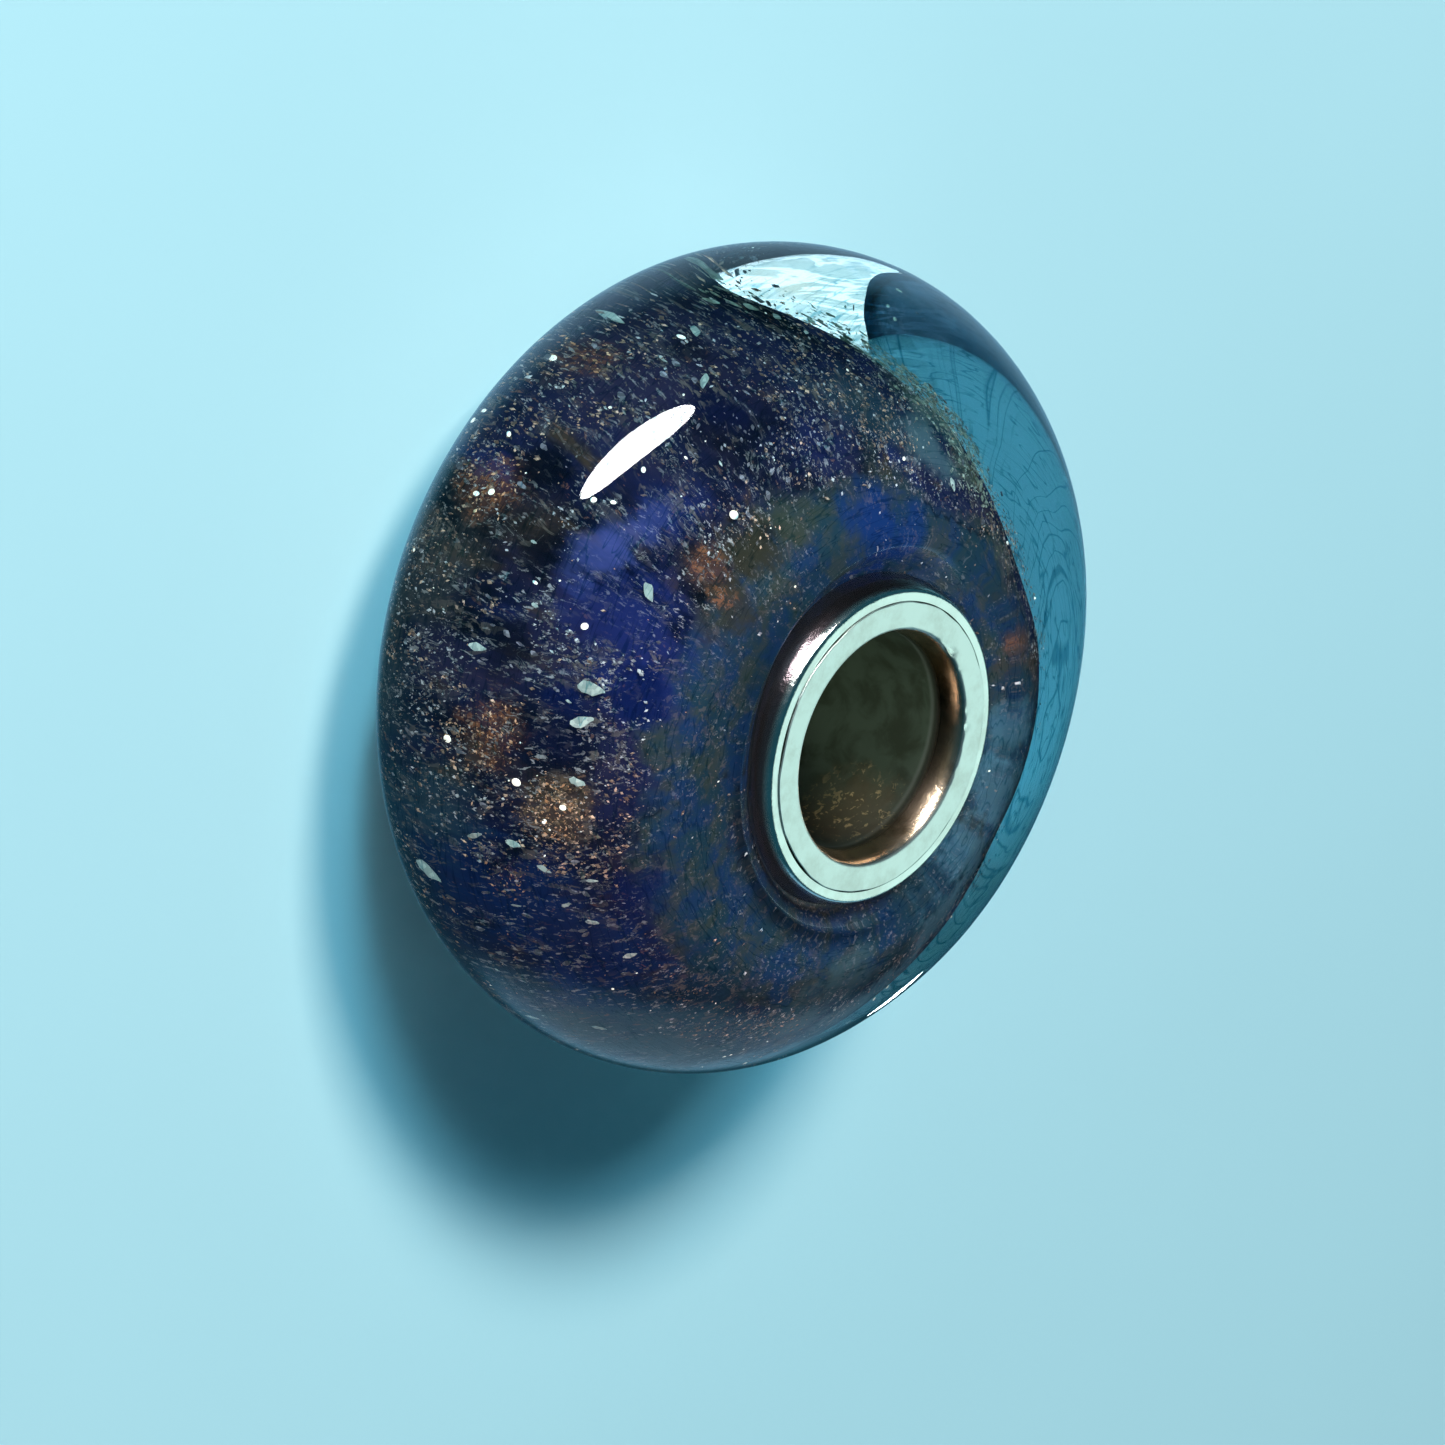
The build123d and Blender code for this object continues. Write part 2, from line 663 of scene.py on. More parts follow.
@dataclass(frozen=True)
class ClearGlass:
    """Clear outer glass, barely tinted, with the faint waves of flame-worked glass."""

    tint: Colour = (0.96, 0.995, 1.0)
    thread: Colour = (0.10, 0.34, 0.43)
    # Painted light: the glare colour, the brown spot and the stroke colour paint the patch of clear glass
    # where the back lamp shows through.
    glare: Colour = (0.27, 0.35, 0.32)
    window_brown: Colour = (0.42, 0.33, 0.22)
    glare_centre: Vector = cylindrical(-160.0, 7.55 * MM, 1.3 * MM)
    glare_reach: float = 3.4 * MM
    window_brown_centre: Vector = cylindrical(-154.5, 7.62 * MM, 1.20 * MM)
    window_brown_reach: float = 0.8 * MM
    window_brown_share: float = 0.6
    stroke: Colour = (1.0, 1.0, 1.0)
    stroke_along: Vector = Vector((-0.345, 0.603, 0.719))
    stroke_across: Vector = Vector((-0.939, -0.222, -0.264))
    stroke_scale: float = 3.0 / MM
    stroke_stretch: float = 0.15
    thread_fineness: float = 8.0 / MM
    thread_width: float = 0.035
    shade: Colour = (0.56, 0.70, 0.76)
    depth_colour: Colour = (0.42, 0.690, 0.735)
    depth_density: float = 260.0
    ior: float = 1.5
    wave_scale: float = 0.55 / MM
    wave_depth: float = 0.02 * MM

    def material(self, effects: Effects) -> Material:
        """Builds the material; lamps shine through it on to the dark glass.

        Args:
            effects: the shared node groups.

        Returns:
            The clear glass.
        """
        material, bench, shader = new_material("clear_glass")
        for name, value in {"Roughness": 0.0, "IOR": self.ior, "Transmission Weight": 1.0}.items():
            shader.inputs[name].default_value = value
        place = bench.place()
        threads = bench.mask(
            effects.winding, Place=place, Fine=self.thread_fineness, Turn=6.0, Width=self.thread_width
        )
        cloud = bench.mask(effects.cloud, Place=place, Scale=0.5 / MM, Low=0.30, High=0.50)
        faint = bench.times(threads, cloud)
        ragged = bench.less(bench.noise(place, 2.2 / MM, 3.0), 0.5)
        spots = ((self.glare_centre, self.glare_reach), (self.window_brown_centre, self.window_brown_reach))
        at_glare, at_window_brown = (
            bench.mask(effects.patch, Place=place, Centre=centre, Reach=reach, Edge=ragged)
            for centre, reach in spots
        )
        along = bench.times(bench.vector("DOT_PRODUCT", place, self.stroke_along), self.stroke_stretch)
        brush = bench.joined(X=along, Y=bench.vector("DOT_PRODUCT", place, self.stroke_across))
        strokes = bench.distance(bench.noise(brush, self.stroke_scale, 3.0, 0.55, 0.6), 0.5)
        # Painted light: where the back lamp shows through, the clear glass is tinted darker with a brown
        # spot, and left clear in fine strokes that show as bright streaks.
        glare = bench.blend(bench.times(at_window_brown, self.window_brown_share), self.glare, self.window_brown)
        glare = bench.blend(bench.ranged(strokes, 0.050, 0.018), glare, self.stroke)
        colour = bench.blend(faint, self.tint, self.thread)
        bench.feed(shader.inputs["Base Color"], bench.blend(at_glare, colour, glare))
        waves = bench.noise(place, self.wave_scale, 1.0, 0.3)
        bench.feed(shader.inputs["Normal"], bench.bump(waves, 0.6, self.wave_depth))
        through = bench.node("ShaderNodeBsdfTransparent", {"Color": self.shade})
        lamp_ray = bench.node("ShaderNodeLightPath").outputs["Is Shadow Ray"]
        mixed = bench.node("ShaderNodeMixShader", {0: lamp_ray, 1: shader.outputs[0], 2: through.outputs[0]})
        output = bench.tree.nodes["Material Output"]
        bench.feed(output.inputs["Surface"], mixed.outputs[0])
        absorbed = {"Color": self.depth_colour, "Density": self.depth_density}
        depth = bench.node("ShaderNodeVolumeAbsorption", absorbed)
        bench.feed(output.inputs["Volume"], depth.outputs[0])
        return material


@dataclass(frozen=True)
class DarkGlass:
    """Dark inner glass: midnight blue with clouds, patches and drawn-out dust."""

    end_start_z: float
    patches: tuple[Patch, ...]
    veils: tuple[Patch, ...]
    draw_out: float = 0.40
    end_fade: tuple[float, float] = (-0.10 * MM, 0.22 * MM)
    clouds: tuple[tuple[float, float, float, GlassColour], ...] = (
        (0.45, 0.40, 0.60, GlassColour.NAVY),
        (0.8, 0.50, 0.68, GlassColour.VIOLET),
        (0.62, 0.58, 0.72, GlassColour.COBALT),
        (1.3, 0.56, 0.70, GlassColour.BROWN),
    )
    filament: Colour = (0.30, 0.29, 0.27)
    twist: float = 0.085 / MM
    twisted_side: Vector = cylindrical(-150.0, 1.0, 0.0)
    dust: tuple[Dust, ...] = (
        Dust(2.6, 0.12, 0.55, (0.080, 0.062, 0.080), 0.9, 0.6),
        Dust(5.5, 0.13, 0.65, (0.16, 0.12, 0.10), 0.7, 0.45),
        Dust(8.5, 0.08, 0.45, (0.30, 0.13, 0.07), 0.5, 0.2),
        Dust(12.0, 0.12, 0.80, (0.40, 0.36, 0.35), 1.1, 0.35),
    )

    def material(self, effects: Effects) -> Material:
        """Builds the material.

        Args:
            effects: the shared node groups.

        Returns:
            The dark glass.
        """
        material, bench, shader = new_material("dark_glass")
        place = bench.place()
        height = bench.parts(place)["Z"]
        flat = bench.vector("NORMALIZE", bench.vector("MULTIPLY", place, (1.0, 1.0, 0.0)))
        near = bench.vector("DOT_PRODUCT", flat, self.twisted_side)
        turn = bench.times(height, bench.ranged(near, 0.4, 1.0, 0.0, -self.twist))
        placed = {"Vector": place, "Angle": turn}
        twisted = bench.node("ShaderNodeVectorRotate", placed, rotation_type="Z_AXIS")
        drawn = bench.vector("MULTIPLY", twisted.outputs[0], (1.0, 1.0, self.draw_out))

        def cloud(scale: float, low: float, high: float, where: object = drawn) -> Socket:
            """Mask of a cloud with lumps of about one over scale, in millimetres."""
            return bench.mask(effects.cloud, Place=where, Scale=scale / MM, Low=low, High=high)

        def tinge(mask: Socket, share: float, under: object, colour: GlassColour) -> Socket:
            """Lays a share of a colour over what is there."""
            return bench.blend(bench.times(mask, share), under, colour.value)

        side = GlassColour.BLACK.value
        for scale, low, high, colour in self.clouds:
            side = bench.blend(cloud(scale, low, high), side, colour.value)
        mottle = cloud(1.3, 0.42, 0.62, place)
        end = bench.blend(mottle, GlassColour.END_BLUE.value, GlassColour.SLATE.value)
        end = tinge(cloud(2.0, 0.46, 0.62, place), 0.75, end, GlassColour.OLIVE)
        end = tinge(cloud(4.5, 0.50, 0.62, place), 0.45, end, GlassColour.SLATE)
        ragged = bench.times(cloud(0.5, 0.3, 0.7, place), 0.5 * MM)
        edge = bench.math("ADD", bench.math("ABSOLUTE", height), ragged)
        on_end = bench.ranged(edge, *(self.end_start_z + offset for offset in self.end_fade))
        rim = bench.times(bench.times(on_end, bench.less(1.0, on_end)), 2.2)
        colour = bench.blend(on_end, side, end)
        colour = bench.blend(bench.times(rim, cloud(1.5, 0.4, 0.6)), colour, GlassColour.OLIVE.value)
        crease = bench.ranged(bench.distance(on_end, 0.8), 0.16, 0.0)
        crease = bench.times(crease, cloud(0.9, 0.40, 0.60, place))
        colour = tinge(crease, 0.7, colour, GlassColour.BLACK)
        uneven = bench.times(bench.less(bench.noise(drawn, 2.2 / MM, 4.0, 0.65), 0.5), 1.9)
        fine = bench.ranged(bench.noise(place, 8.0 / MM, 3.0, 0.7, 0.5), 0.50, 0.60)

        def lay(patches: tuple[Patch, ...], under: object) -> Socket:
            """Lays patches of colour over what is there.

            Args:
                patches: the patches, from the lowest up.
                under: the colour they are laid on.

            Returns:
                The finished colour.
            """
            for patch in patches:
                centre = cylindrical(patch.azimuth, patch.radius * MM, patch.height * MM)
                reach = patch.reach * MM
                mask = bench.mask(effects.patch, Place=place, Centre=centre, Reach=reach, Edge=uneven)
                if patch.grain:
                    mask = bench.times(mask, bench.ranged(fine, 0.0, 1.0, 1.0 - patch.grain, 1.0))
                under = tinge(mask, patch.strength, under, patch.colour)
            return under

        colour = lay(self.patches, colour)
        for dust in self.dust:
            mask = bench.mask(effects.specks, Place=drawn, Scale=dust.scale / MM, Amount=dust.amount)
            clump = cloud(dust.clump_scale, 0.38, 0.62)
            share = bench.ranged(on_end, 0.0, 1.0, dust.strength, dust.strength * dust.on_end)
            colour = bench.blend(bench.times(mask, bench.times(clump, share)), colour, dust.colour)
        bend = bench.noise(drawn, 3.2 / MM, 3.0, 0.6, 1.2)
        hair = bench.ranged(bench.distance(bend, 0.5), 0.010, 0.0)
        short = bench.times(cloud(2.6, 0.52, 0.62), bench.ranged(on_end, 0.0, 1.0, 0.55, 0.12))
        colour = bench.blend(bench.times(hair, short), colour, self.filament)
        bench.feed(shader.inputs["Base Color"], lay(self.veils, colour))
        bench.feed(shader.inputs["Roughness"], bench.ranged(cloud(0.8, 0.3, 0.7), 0.0, 1.0, 0.6, 0.9))
        shader.inputs["Specular IOR Level"].default_value = 0.0
        return material


@dataclass(frozen=True)
class FleckMetal:
    """Bright metal or foil of one kind of fleck."""

    name: str
    light: Colour
    deep: Colour
    roughness: float
    metallic: float
    glow: float = 0.0
    cell_scale: float = 14.0 / MM
    bias_to_deep: float = 3.2

    def material(self) -> Material:
        """Builds the material, uneven from fleck to fleck.

        Returns:
            The fleck's metal.
        """
        material, bench, shader = new_material(self.name)
        place = bench.place()
        cells = bench.node("ShaderNodeTexVoronoi", {"Vector": place, "Scale": self.cell_scale})
        random_value = bench.math("POWER", bench.parts(cells.outputs["Color"])["X"], self.bias_to_deep)
        colour = bench.blend(random_value, self.deep, self.light)
        bench.feed(shader.inputs["Base Color"], colour)
        shader.inputs["Metallic"].default_value = self.metallic
        bench.feed(shader.inputs["Roughness"], bench.ranged(random_value, 0.0, 1.0, self.roughness, 0.6))
        # Glow is a painted glint: the fleck shines though no lamp lights it.
        if self.glow:
            bench.feed(shader.inputs["Emission Color"], colour)
            shader.inputs["Emission Strength"].default_value = self.glow
        return material


@dataclass(frozen=True)
class Silver:
    """Handled silver: a satin face, bright rounded edges and a stained bore."""

    name: str
    face_z: float
    bore_radius: float
    rim_radius: float
    bright: Colour = (0.80, 0.90, 0.86)
    stain: Colour = (0.30, 0.27, 0.20)
    bore: Colour = (0.062, 0.084, 0.060)
    bore_shade: Colour = (0.036, 0.046, 0.030)
    lip: Colour = (0.62, 0.47, 0.34)
    wall_painted_reflection: Colour = (0.145, 0.115, 0.125)
    brown: Colour = (0.24, 0.17, 0.10)
    gold: Colour = (0.70, 0.52, 0.26)
    face_stain: float = 0.25
    golden_centre: Vector = cylindrical(48.0, 1.95 * MM, 2.6 * MM)
    golden_reach: float = 1.3 * MM

    def material(self, effects: Effects) -> Material:
        """Builds the material.

        Args:
            effects: the shared node groups.

        Returns:
            The silver.
        """
        material, bench, shader = new_material(self.name)
        place = bench.place()
        parts = bench.parts(place)
        radius = bench.vector("LENGTH", bench.joined(X=parts["X"], Y=parts["Y"]))
        height = bench.math("ABSOLUTE", parts["Z"])

        def fallen(start: float, finish: float) -> Socket:
            """Goes from 0 to 1 between two depths under the face, in millimetres."""
            return bench.ranged(height, self.face_z - start * MM, self.face_z - finish * MM)

        def neared(wall: float, start: float, finish: float) -> Socket:
            """Goes from 0 to 1 between two radii, given in millimetres outside a wall's radius."""
            return bench.ranged(radius, wall + start * MM, wall + finish * MM)

        worn = bench.use(effects.wear, Place=place, Scale=1.3 / MM, Depth=0.25)
        face = fallen(0.05, 0.01)
        inside = bench.times(fallen(0.42, 0.72), neared(self.bore_radius, 0.10, 0.0))
        outside = bench.less(1.0, inside)
        lip = bench.times(neared(self.bore_radius, 0.19, 0.12), outside)
        colour = bench.blend(bench.times(worn["Stain"], self.face_stain), self.bright, self.stain)
        colour = bench.blend(lip, colour, bench.blend(worn["Stain"], self.lip, self.brown))
        blotch = bench.mask(effects.cloud, Place=place, Scale=1.6 / MM, Low=0.36, High=0.60)
        colour = bench.blend(inside, colour, bench.blend(blotch, self.bore_shade, self.bore))
        turning = bench.times(bench.times(inside, outside), 3.6)
        colour = bench.blend(turning, colour, self.bore_shade)
        golden = bench.mask(effects.specks, Place=place, Scale=6.5 / MM, Amount=0.13)
        uneven = bench.less(bench.noise(place, 1.6 / MM, 4.0, 0.6), 0.5)
        near = bench.mask(
            effects.patch, Place=place, Centre=self.golden_centre, Reach=self.golden_reach, Edge=uneven
        )
        colour = bench.blend(bench.times(near, 0.5), colour, self.brown)
        colour = bench.blend(bench.times(golden, near), colour, self.gold)
        # The ring's side wall is painted dark purplish brown: a painted reflection of the dark glass and
        # copper flecks that it faces.
        wall = bench.times(fallen(0.06, 0.2), neared(self.rim_radius, -0.05, 0.0))
        bench.feed(shader.inputs["Base Color"], bench.blend(wall, colour, self.wall_painted_reflection))
        metal = bench.less(bench.ranged(inside, 0.0, 1.0, 1.0, 0.15), bench.times(wall, 0.07))
        bench.feed(shader.inputs["Metallic"], metal)
        rough = bench.ranged(face, 0.0, 1.0, bench.ranged(lip, 0.0, 1.0, 0.16, 0.27), 0.42)
        bench.feed(shader.inputs["Roughness"], bench.ranged(inside, 0.0, 1.0, rough, 0.6))
        bench.feed(shader.inputs["Normal"], worn["Normal"])
        return material


@dataclass(frozen=True)
class FloorSheet:
    """Plain pale floor."""

    colour: Colour = (0.46, 0.80, 0.88)
    darker_share: float = 0.94
    roughness: float = 0.9

    def material(self) -> Material:
        """Builds the material.

        Returns:
            The floor's finish.
        """
        material, bench, shader = new_material("pale_floor")
        darker = tuple(self.darker_share * part for part in self.colour)
        drift = bench.noise(bench.place(), 0.06 / MM, 3.0)
        bench.feed(shader.inputs["Base Color"], bench.blend(drift, self.colour, darker))
        shader.inputs["Roughness"].default_value = self.roughness
        return material


# Glass


@dataclass
class ClearCasing(LathePiece):
    """The clear outer ring of glass, puckered round each collar."""

    name: str = "clear_casing"
    node: str = "glass_casing"
    slot: Slot = Slot.CLEAR
    crest_radius: float = 3.08 * MM
    lip_radius: float = 3.55 * MM
    valley: tuple[float, float] = (2.95 * MM, 3.38 * MM)
    undercut: tuple[float, float] = (0.06 * MM, 0.03 * MM)
    filled: tuple[float, float] = (2.3 * MM, 2.8 * MM)
    glass_bore_radius: float = 2.18 * MM
    drift_end: float = 5.0 * MM
    side_steps: int = 64
    lip_steps: int = 14
    wall_steps: int = 12
    lump: float = 0.05 * MM
    lump_size: float = 4.2 * MM
    full_azimuth: float = -50.0
    fullness: float = 0.34 * MM

    def outline(self) -> Outline:
        """Section of the ring, before it drifts off-centre.

        Returns:
            Points of radius and height, all round the section.
        """
        sizes = self.sizes
        reach = sizes.glass_radius - self.crest_radius
        last = degrees(acos((self.lip_radius - self.crest_radius) / reach))
        outer = []
        for step in range(self.side_steps + 1):
            angle = radians(last * (2.0 * step / self.side_steps - 1.0))
            outer.append((self.crest_radius + reach * cos(angle), sizes.crest_z * sin(angle)))
        lip_z = outer[-1][1]
        valley_radius, valley_z = self.valley
        top = []
        for step in range(1, self.lip_steps + 1):
            share = step / self.lip_steps
            radius = self.lip_radius + (valley_radius - self.lip_radius) * share
            top.append((radius, lip_z + (valley_z - lip_z) * ease(share)))
        foot_z = sizes.collar_foot_z
        inward, down = self.undercut
        top += [(valley_radius - inward, valley_z - down), (self.glass_bore_radius, foot_z)]
        wall_heights = [foot_z * (1.0 - 2.0 * step / self.wall_steps) for step in range(1, self.wall_steps)]
        wall = [(self.glass_bore_radius, height) for height in wall_heights]
        bottom = [(radius, -height) for radius, height in reversed(top)]
        return outer + top + wall + bottom

    def settle(self, point: Vector) -> Vector:
        """Moves a point off-centre with the ring, fills one side of each dimple, and adds lumps.

        Args:
            point: a point of the ring turned about the bore's axis.

        Returns:
            Its finished place.
        """
        radius = off_axis(point)
        side = facing(point, self.full_azimuth) ** 2
        fill = side * span(radius, self.lip_radius, self.valley[0]) * span(radius, *self.filled)
        point = point + Vector((0.0, 0.0, self.fullness * fill * (1.0 if point.z > 0.0 else -1.0)))
        drift = span(radius, self.sizes.collar_radius, self.drift_end)
        moved = point + Vector((self.sizes.glass_centre.x, self.sizes.glass_centre.y, 0.0)) * drift
        dip = 0.5 + 0.5 * ripple(point, self.lump_size, 7.0)
        outward = around(point) + Vector((0, 0, 0.6 * point.z / self.sizes.crest_z))
        return moved - outward * self.lump * dip * drift


@dataclass(frozen=True)
class Dent:
    """A hollow in the dark glass, or a bulge where its depth is below 0."""

    azimuth: float
    height: float
    reach: float
    depth: float


@dataclass
class DarkBarrel(LathePiece):
    """The dark inner glass, a hand-wound barrel with dished ends."""

    name: str = "dark_barrel"
    node: str = "glass_body"
    slot: Slot = Slot.DARK
    turns: int = 220
    shoulder_width: float = 1.40 * MM
    side_fullness: float = 0.60
    shoulder_fullness: float = 0.50
    shoulder_height: float = 0.93
    dish: float = 0.30 * MM
    bore_radius: float = 2.20 * MM
    drift_end: float = 3.6 * MM
    side_steps: int = 40
    end_steps: int = 16
    wall_steps: int = 8
    lump: float = 0.04 * MM
    lump_sizes: tuple[float, float] = (2.6 * MM, 1.1 * MM)
    dents: tuple[Dent, ...] = (
        Dent(112.0, 2.6 * MM, 3.2 * MM, -0.28 * MM),
        Dent(162.0, -0.4 * MM, 3.8 * MM, -0.22 * MM),
        Dent(119.0, -1.4 * MM, 1.7 * MM, 0.32 * MM),
    )

    def outline(self) -> Outline:
        """Section of the barrel.

        Returns:
            Points of radius and height, all round the section.
        """
        radius, height = self.sizes.core_radius, self.sizes.core_half_length
        face_radius = radius - self.shoulder_width
        shoulder_radius = face_radius + self.shoulder_fullness * self.shoulder_width
        controls = [
            Vector((radius, 0.0)),
            Vector((radius, self.side_fullness * height)),
            Vector((shoulder_radius, self.shoulder_height * height)),
            Vector((face_radius, height)),
        ]
        upper: Outline = []
        for step in range(self.side_steps + 1):
            t = step / self.side_steps
            weights = ((1 - t) ** 3, 3 * (1 - t) ** 2 * t, 3 * (1 - t) * t * t, t**3)
            upper.append(tuple(sum((c * w for c, w in zip(controls, weights)), Vector((0.0, 0.0)))))
        for step in range(1, self.end_steps + 1):
            share = step / self.end_steps
            inward = face_radius + (self.bore_radius - face_radius) * share
            upper.append((inward, height - self.dish * ease(share)))
        lower = [(r, -z) for r, z in reversed(upper[1:])]
        low_z = upper[-1][1]
        steps = range(1, self.wall_steps)
        wall = [(self.bore_radius, low_z - 2 * low_z * step / self.wall_steps) for step in steps]
        return upper + wall + lower

    def settle(self, point: Vector) -> Vector:
        """Moves a point off-centre and adds lumps and dents.

        Args:
            point: a point of the barrel turned about the bore's axis.

        Returns:
            Its finished place.
        """
        drift = span(off_axis(point), self.bore_radius, self.drift_end)
        moved = point + Vector((self.sizes.core_centre.x, self.sizes.core_centre.y, 0.0)) * drift
        outward = (around(point) + Vector((0, 0, 0.4 * point.z / self.sizes.core_half_length))).normalized()
        large, small = self.lump_sizes
        press = self.lump * (0.6 + ripple(point, large, 3.0) + 0.5 * ripple(point, small, 9.0))
        for dent in self.dents:
            centre = cylindrical(dent.azimuth, self.sizes.core_radius, dent.height)
            press += dent.depth * span((moved - centre).length, dent.reach, 0.2 * dent.reach)
        return moved - outward * press * drift


# Flecks in the glass


@dataclass(frozen=True)
class FleckForm:
    """One fleck's own shape, as points and faces of unit size."""

    points: np.ndarray
    faces: np.ndarray


def grain_form() -> FleckForm:
    """A tiny flat crystal: a squashed octahedron."""
    points = np.array([(1, 0, 0), (-1, 0, 0), (0, 0.6, 0), (0, -0.6, 0), (0, 0, 0.25), (0, 0, -0.25)])
    faces = [(0, 2, 4), (2, 1, 4), (1, 3, 4), (3, 0, 4), (2, 0, 5), (1, 2, 5), (3, 1, 5), (0, 3, 5)]
    return FleckForm(points, np.array(faces))


def disc_form() -> FleckForm:
    """A plump round flake: a squashed ball."""
    deselect_all()
    bpy.ops.mesh.primitive_ico_sphere_add(subdivisions=2, radius=1.0)
    ball = bpy.context.active_object
    points = np.array([tuple(v.co) for v in ball.data.vertices]) * (1.0, 0.9, 0.45)
    faces = np.array([tuple(p.vertices) for p in ball.data.polygons])
    bpy.data.objects.remove(ball)
    return FleckForm(points, faces)


def chip_form(seed: int) -> FleckForm:
    """A ragged foil chip: a thin leaf, blunt at one end and drawn out at the other.

    Args:
        seed: picks the edge's shape.

    Returns:
        The chip.
    """
    draw = random.Random(seed)
    corners, thick, width = 14, 0.05, 0.46
    rim = []
    for index in range(corners):
        angle = 2 * pi * index / corners
        along = cos(angle)
        across = width * sin(angle) * (1.0 - 0.55 * max(along, 0.0)) * draw.uniform(0.75, 1.1)
        rim.append((along * draw.uniform(0.88, 1.0), across + 0.06 * draw.uniform(-1.0, 1.0)))
    points = [(x, y, thick) for x, y in rim] + [(x, y, -thick) for x, y in rim]
    points += [(-0.1, 0.0, 1.8 * thick), (-0.1, 0.0, -1.8 * thick)]
    top, under = 2 * corners, 2 * corners + 1
    faces = []
    for index in range(corners):
        after = (index + 1) % corners
        low, low_after = index + corners, after + corners
        faces += [(index, after, top), (low_after, low, under)]
        faces += [(low, low_after, after), (low, after, index)]
    return FleckForm(np.array(points), np.array(faces))


@dataclass(frozen=True)
class Cluster:
    """Where flecks crowd on the dark glass."""

    azimuth: float
    height: float
    reach: float
    weight: float


@dataclass(frozen=True)
class Spot:
    """One fleck that stands out, at a given place round the bore."""

    azimuth: float
    height: float
    length: float
    lift: float = 0.12


@dataclass
class FleckField:
    """Flecks of one kind, scattered in the clear glass close over the dark barrel."""

    metal: FleckMetal
    name: str
    forms: list[FleckForm]
    count: int
    length: tuple[float, float]
    depth: tuple[float, float]
    seed: int
    spread: float = 0.5
    ground: float = 1.0
    end_share: float = 0.05
    contrast: float = 2.0
    clusters: tuple[Cluster, ...] = ()
    spots: tuple[Spot, ...] = ()
    clump_size: float = 1.1 * MM
    cluster_radius: float = 5.3
    end_z: float = 2.60 * MM
    least_radius: float = 2.5 * MM
    outside_radius: float = 9.0 * MM
    bias_to_small: float = 3.5
    twisted_azimuth: float = -150.0
    twist: float = 0.45
    tilt: float = 0.25

    def density(self, point: Vector) -> float:
        """How likely a fleck is at a place on the barrel.

        Args:
            point: a place on the dark glass.

        Returns:
            A share, 1 where flecks are thickest.
        """
        drawn = Vector((point.x, point.y, 0.6 * point.z))
        coarse = 0.9 * ripple(drawn, self.clump_size, self.seed)
        clumps = 0.5 + coarse + 0.4 * ripple(drawn, 0.3 * self.clump_size, 2.0)
        crowd = self.ground * max(clumps, 0.0) ** self.contrast
        for cluster in self.clusters:
            radius = around(point).length * self.cluster_radius * MM
            away = (point - cylindrical(cluster.azimuth, radius, cluster.height * MM)).length
            crowd += cluster.weight * span(away, cluster.reach * MM, 0.2 * cluster.reach * MM)
        on_end = span(abs(point.z), self.end_z, self.end_z + 0.3 * MM)
        return crowd * (1.0 - (1.0 - self.end_share) * on_end)

    def seats(self, barrel: Piece) -> list[tuple[Vector, Vector, float]]:
        """Chooses each fleck's place.

        Args:
            barrel: the finished dark glass.

        Returns:
            Place, outward normal and length of each fleck.
        """
        draw = random.Random(self.seed)
        mesh = barrel.data
        outer = [p for p in mesh.polygons if off_axis(p.center) > self.least_radius]
        weights = [p.area for p in outer]
        least, most = self.length
        chosen = []
        while len(chosen) < self.count:
            for polygon in draw.choices(outer, weights, k=self.count):
                corners = [mesh.vertices[v].co for v in polygon.vertices]
                u, v = draw.random(), draw.random()
                point = corners[0].lerp(corners[1], u).lerp(corners[-1].lerp(corners[-2], u), v)
                if draw.random() > self.density(point):
                    continue
                size = least + (most - least) * draw.random() ** self.bias_to_small
                lift = draw.uniform(*self.depth)
                chosen.append((point + polygon.normal * lift, polygon.normal.copy(), size))
                if len(chosen) >= self.count:
                    break
        faces = [tuple(p.vertices) for p in mesh.polygons]
        surface = BVHTree.FromPolygons([v.co for v in mesh.vertices], faces)
        for spot in self.spots:
            far = cylindrical(spot.azimuth, self.outside_radius, spot.height * MM)
            hit, normal, _, _ = surface.ray_cast(far, -around(far))
            chosen.append((hit + normal * spot.lift * MM, normal, spot.length * MM))
        return chosen

    def build(self, barrel: Piece) -> Piece:
        """Joins all flecks into one mesh and hands it over.

        Args:
            barrel: the finished dark glass.

        Returns:
            The finished piece.
        """
        finish = self.metal.material()
        draw = random.Random(self.seed + 1)
        points, faces, start = [], [], 0
        for place, normal, size in self.seats(barrel):
            form = draw.choice(self.forms)
            outward = around(place)
            near = span(outward.dot(cylindrical(self.twisted_azimuth, 1.0, 0.0)), 0.4, 1.0)
            twist = self.twist * near
            drawn = Vector((-twist * outward.y, twist * outward.x, 1.0)) + 0.4 * outward
            along = (drawn - normal * drawn.dot(normal)).normalized()
            turned = Matrix.Rotation(draw.gauss(0.0, self.spread), 3, normal) @ along
            tilt = Matrix.Rotation(draw.gauss(0.0, self.tilt), 3, turned)
            across = tilt @ normal.cross(turned) * draw.uniform(0.5, 1.15)
            axes = np.array([turned, across, tilt @ normal]) * size / 2
            points.append(form.points @ axes + np.array(place))
            faces.append(form.faces + start)
            start += len(form.points)
        piece = new_mesh_object(self.name, np.vstack(points), np.vstack(faces))
        hand_over(piece, finish, Slot.DARK)
        return piece


# Silver core


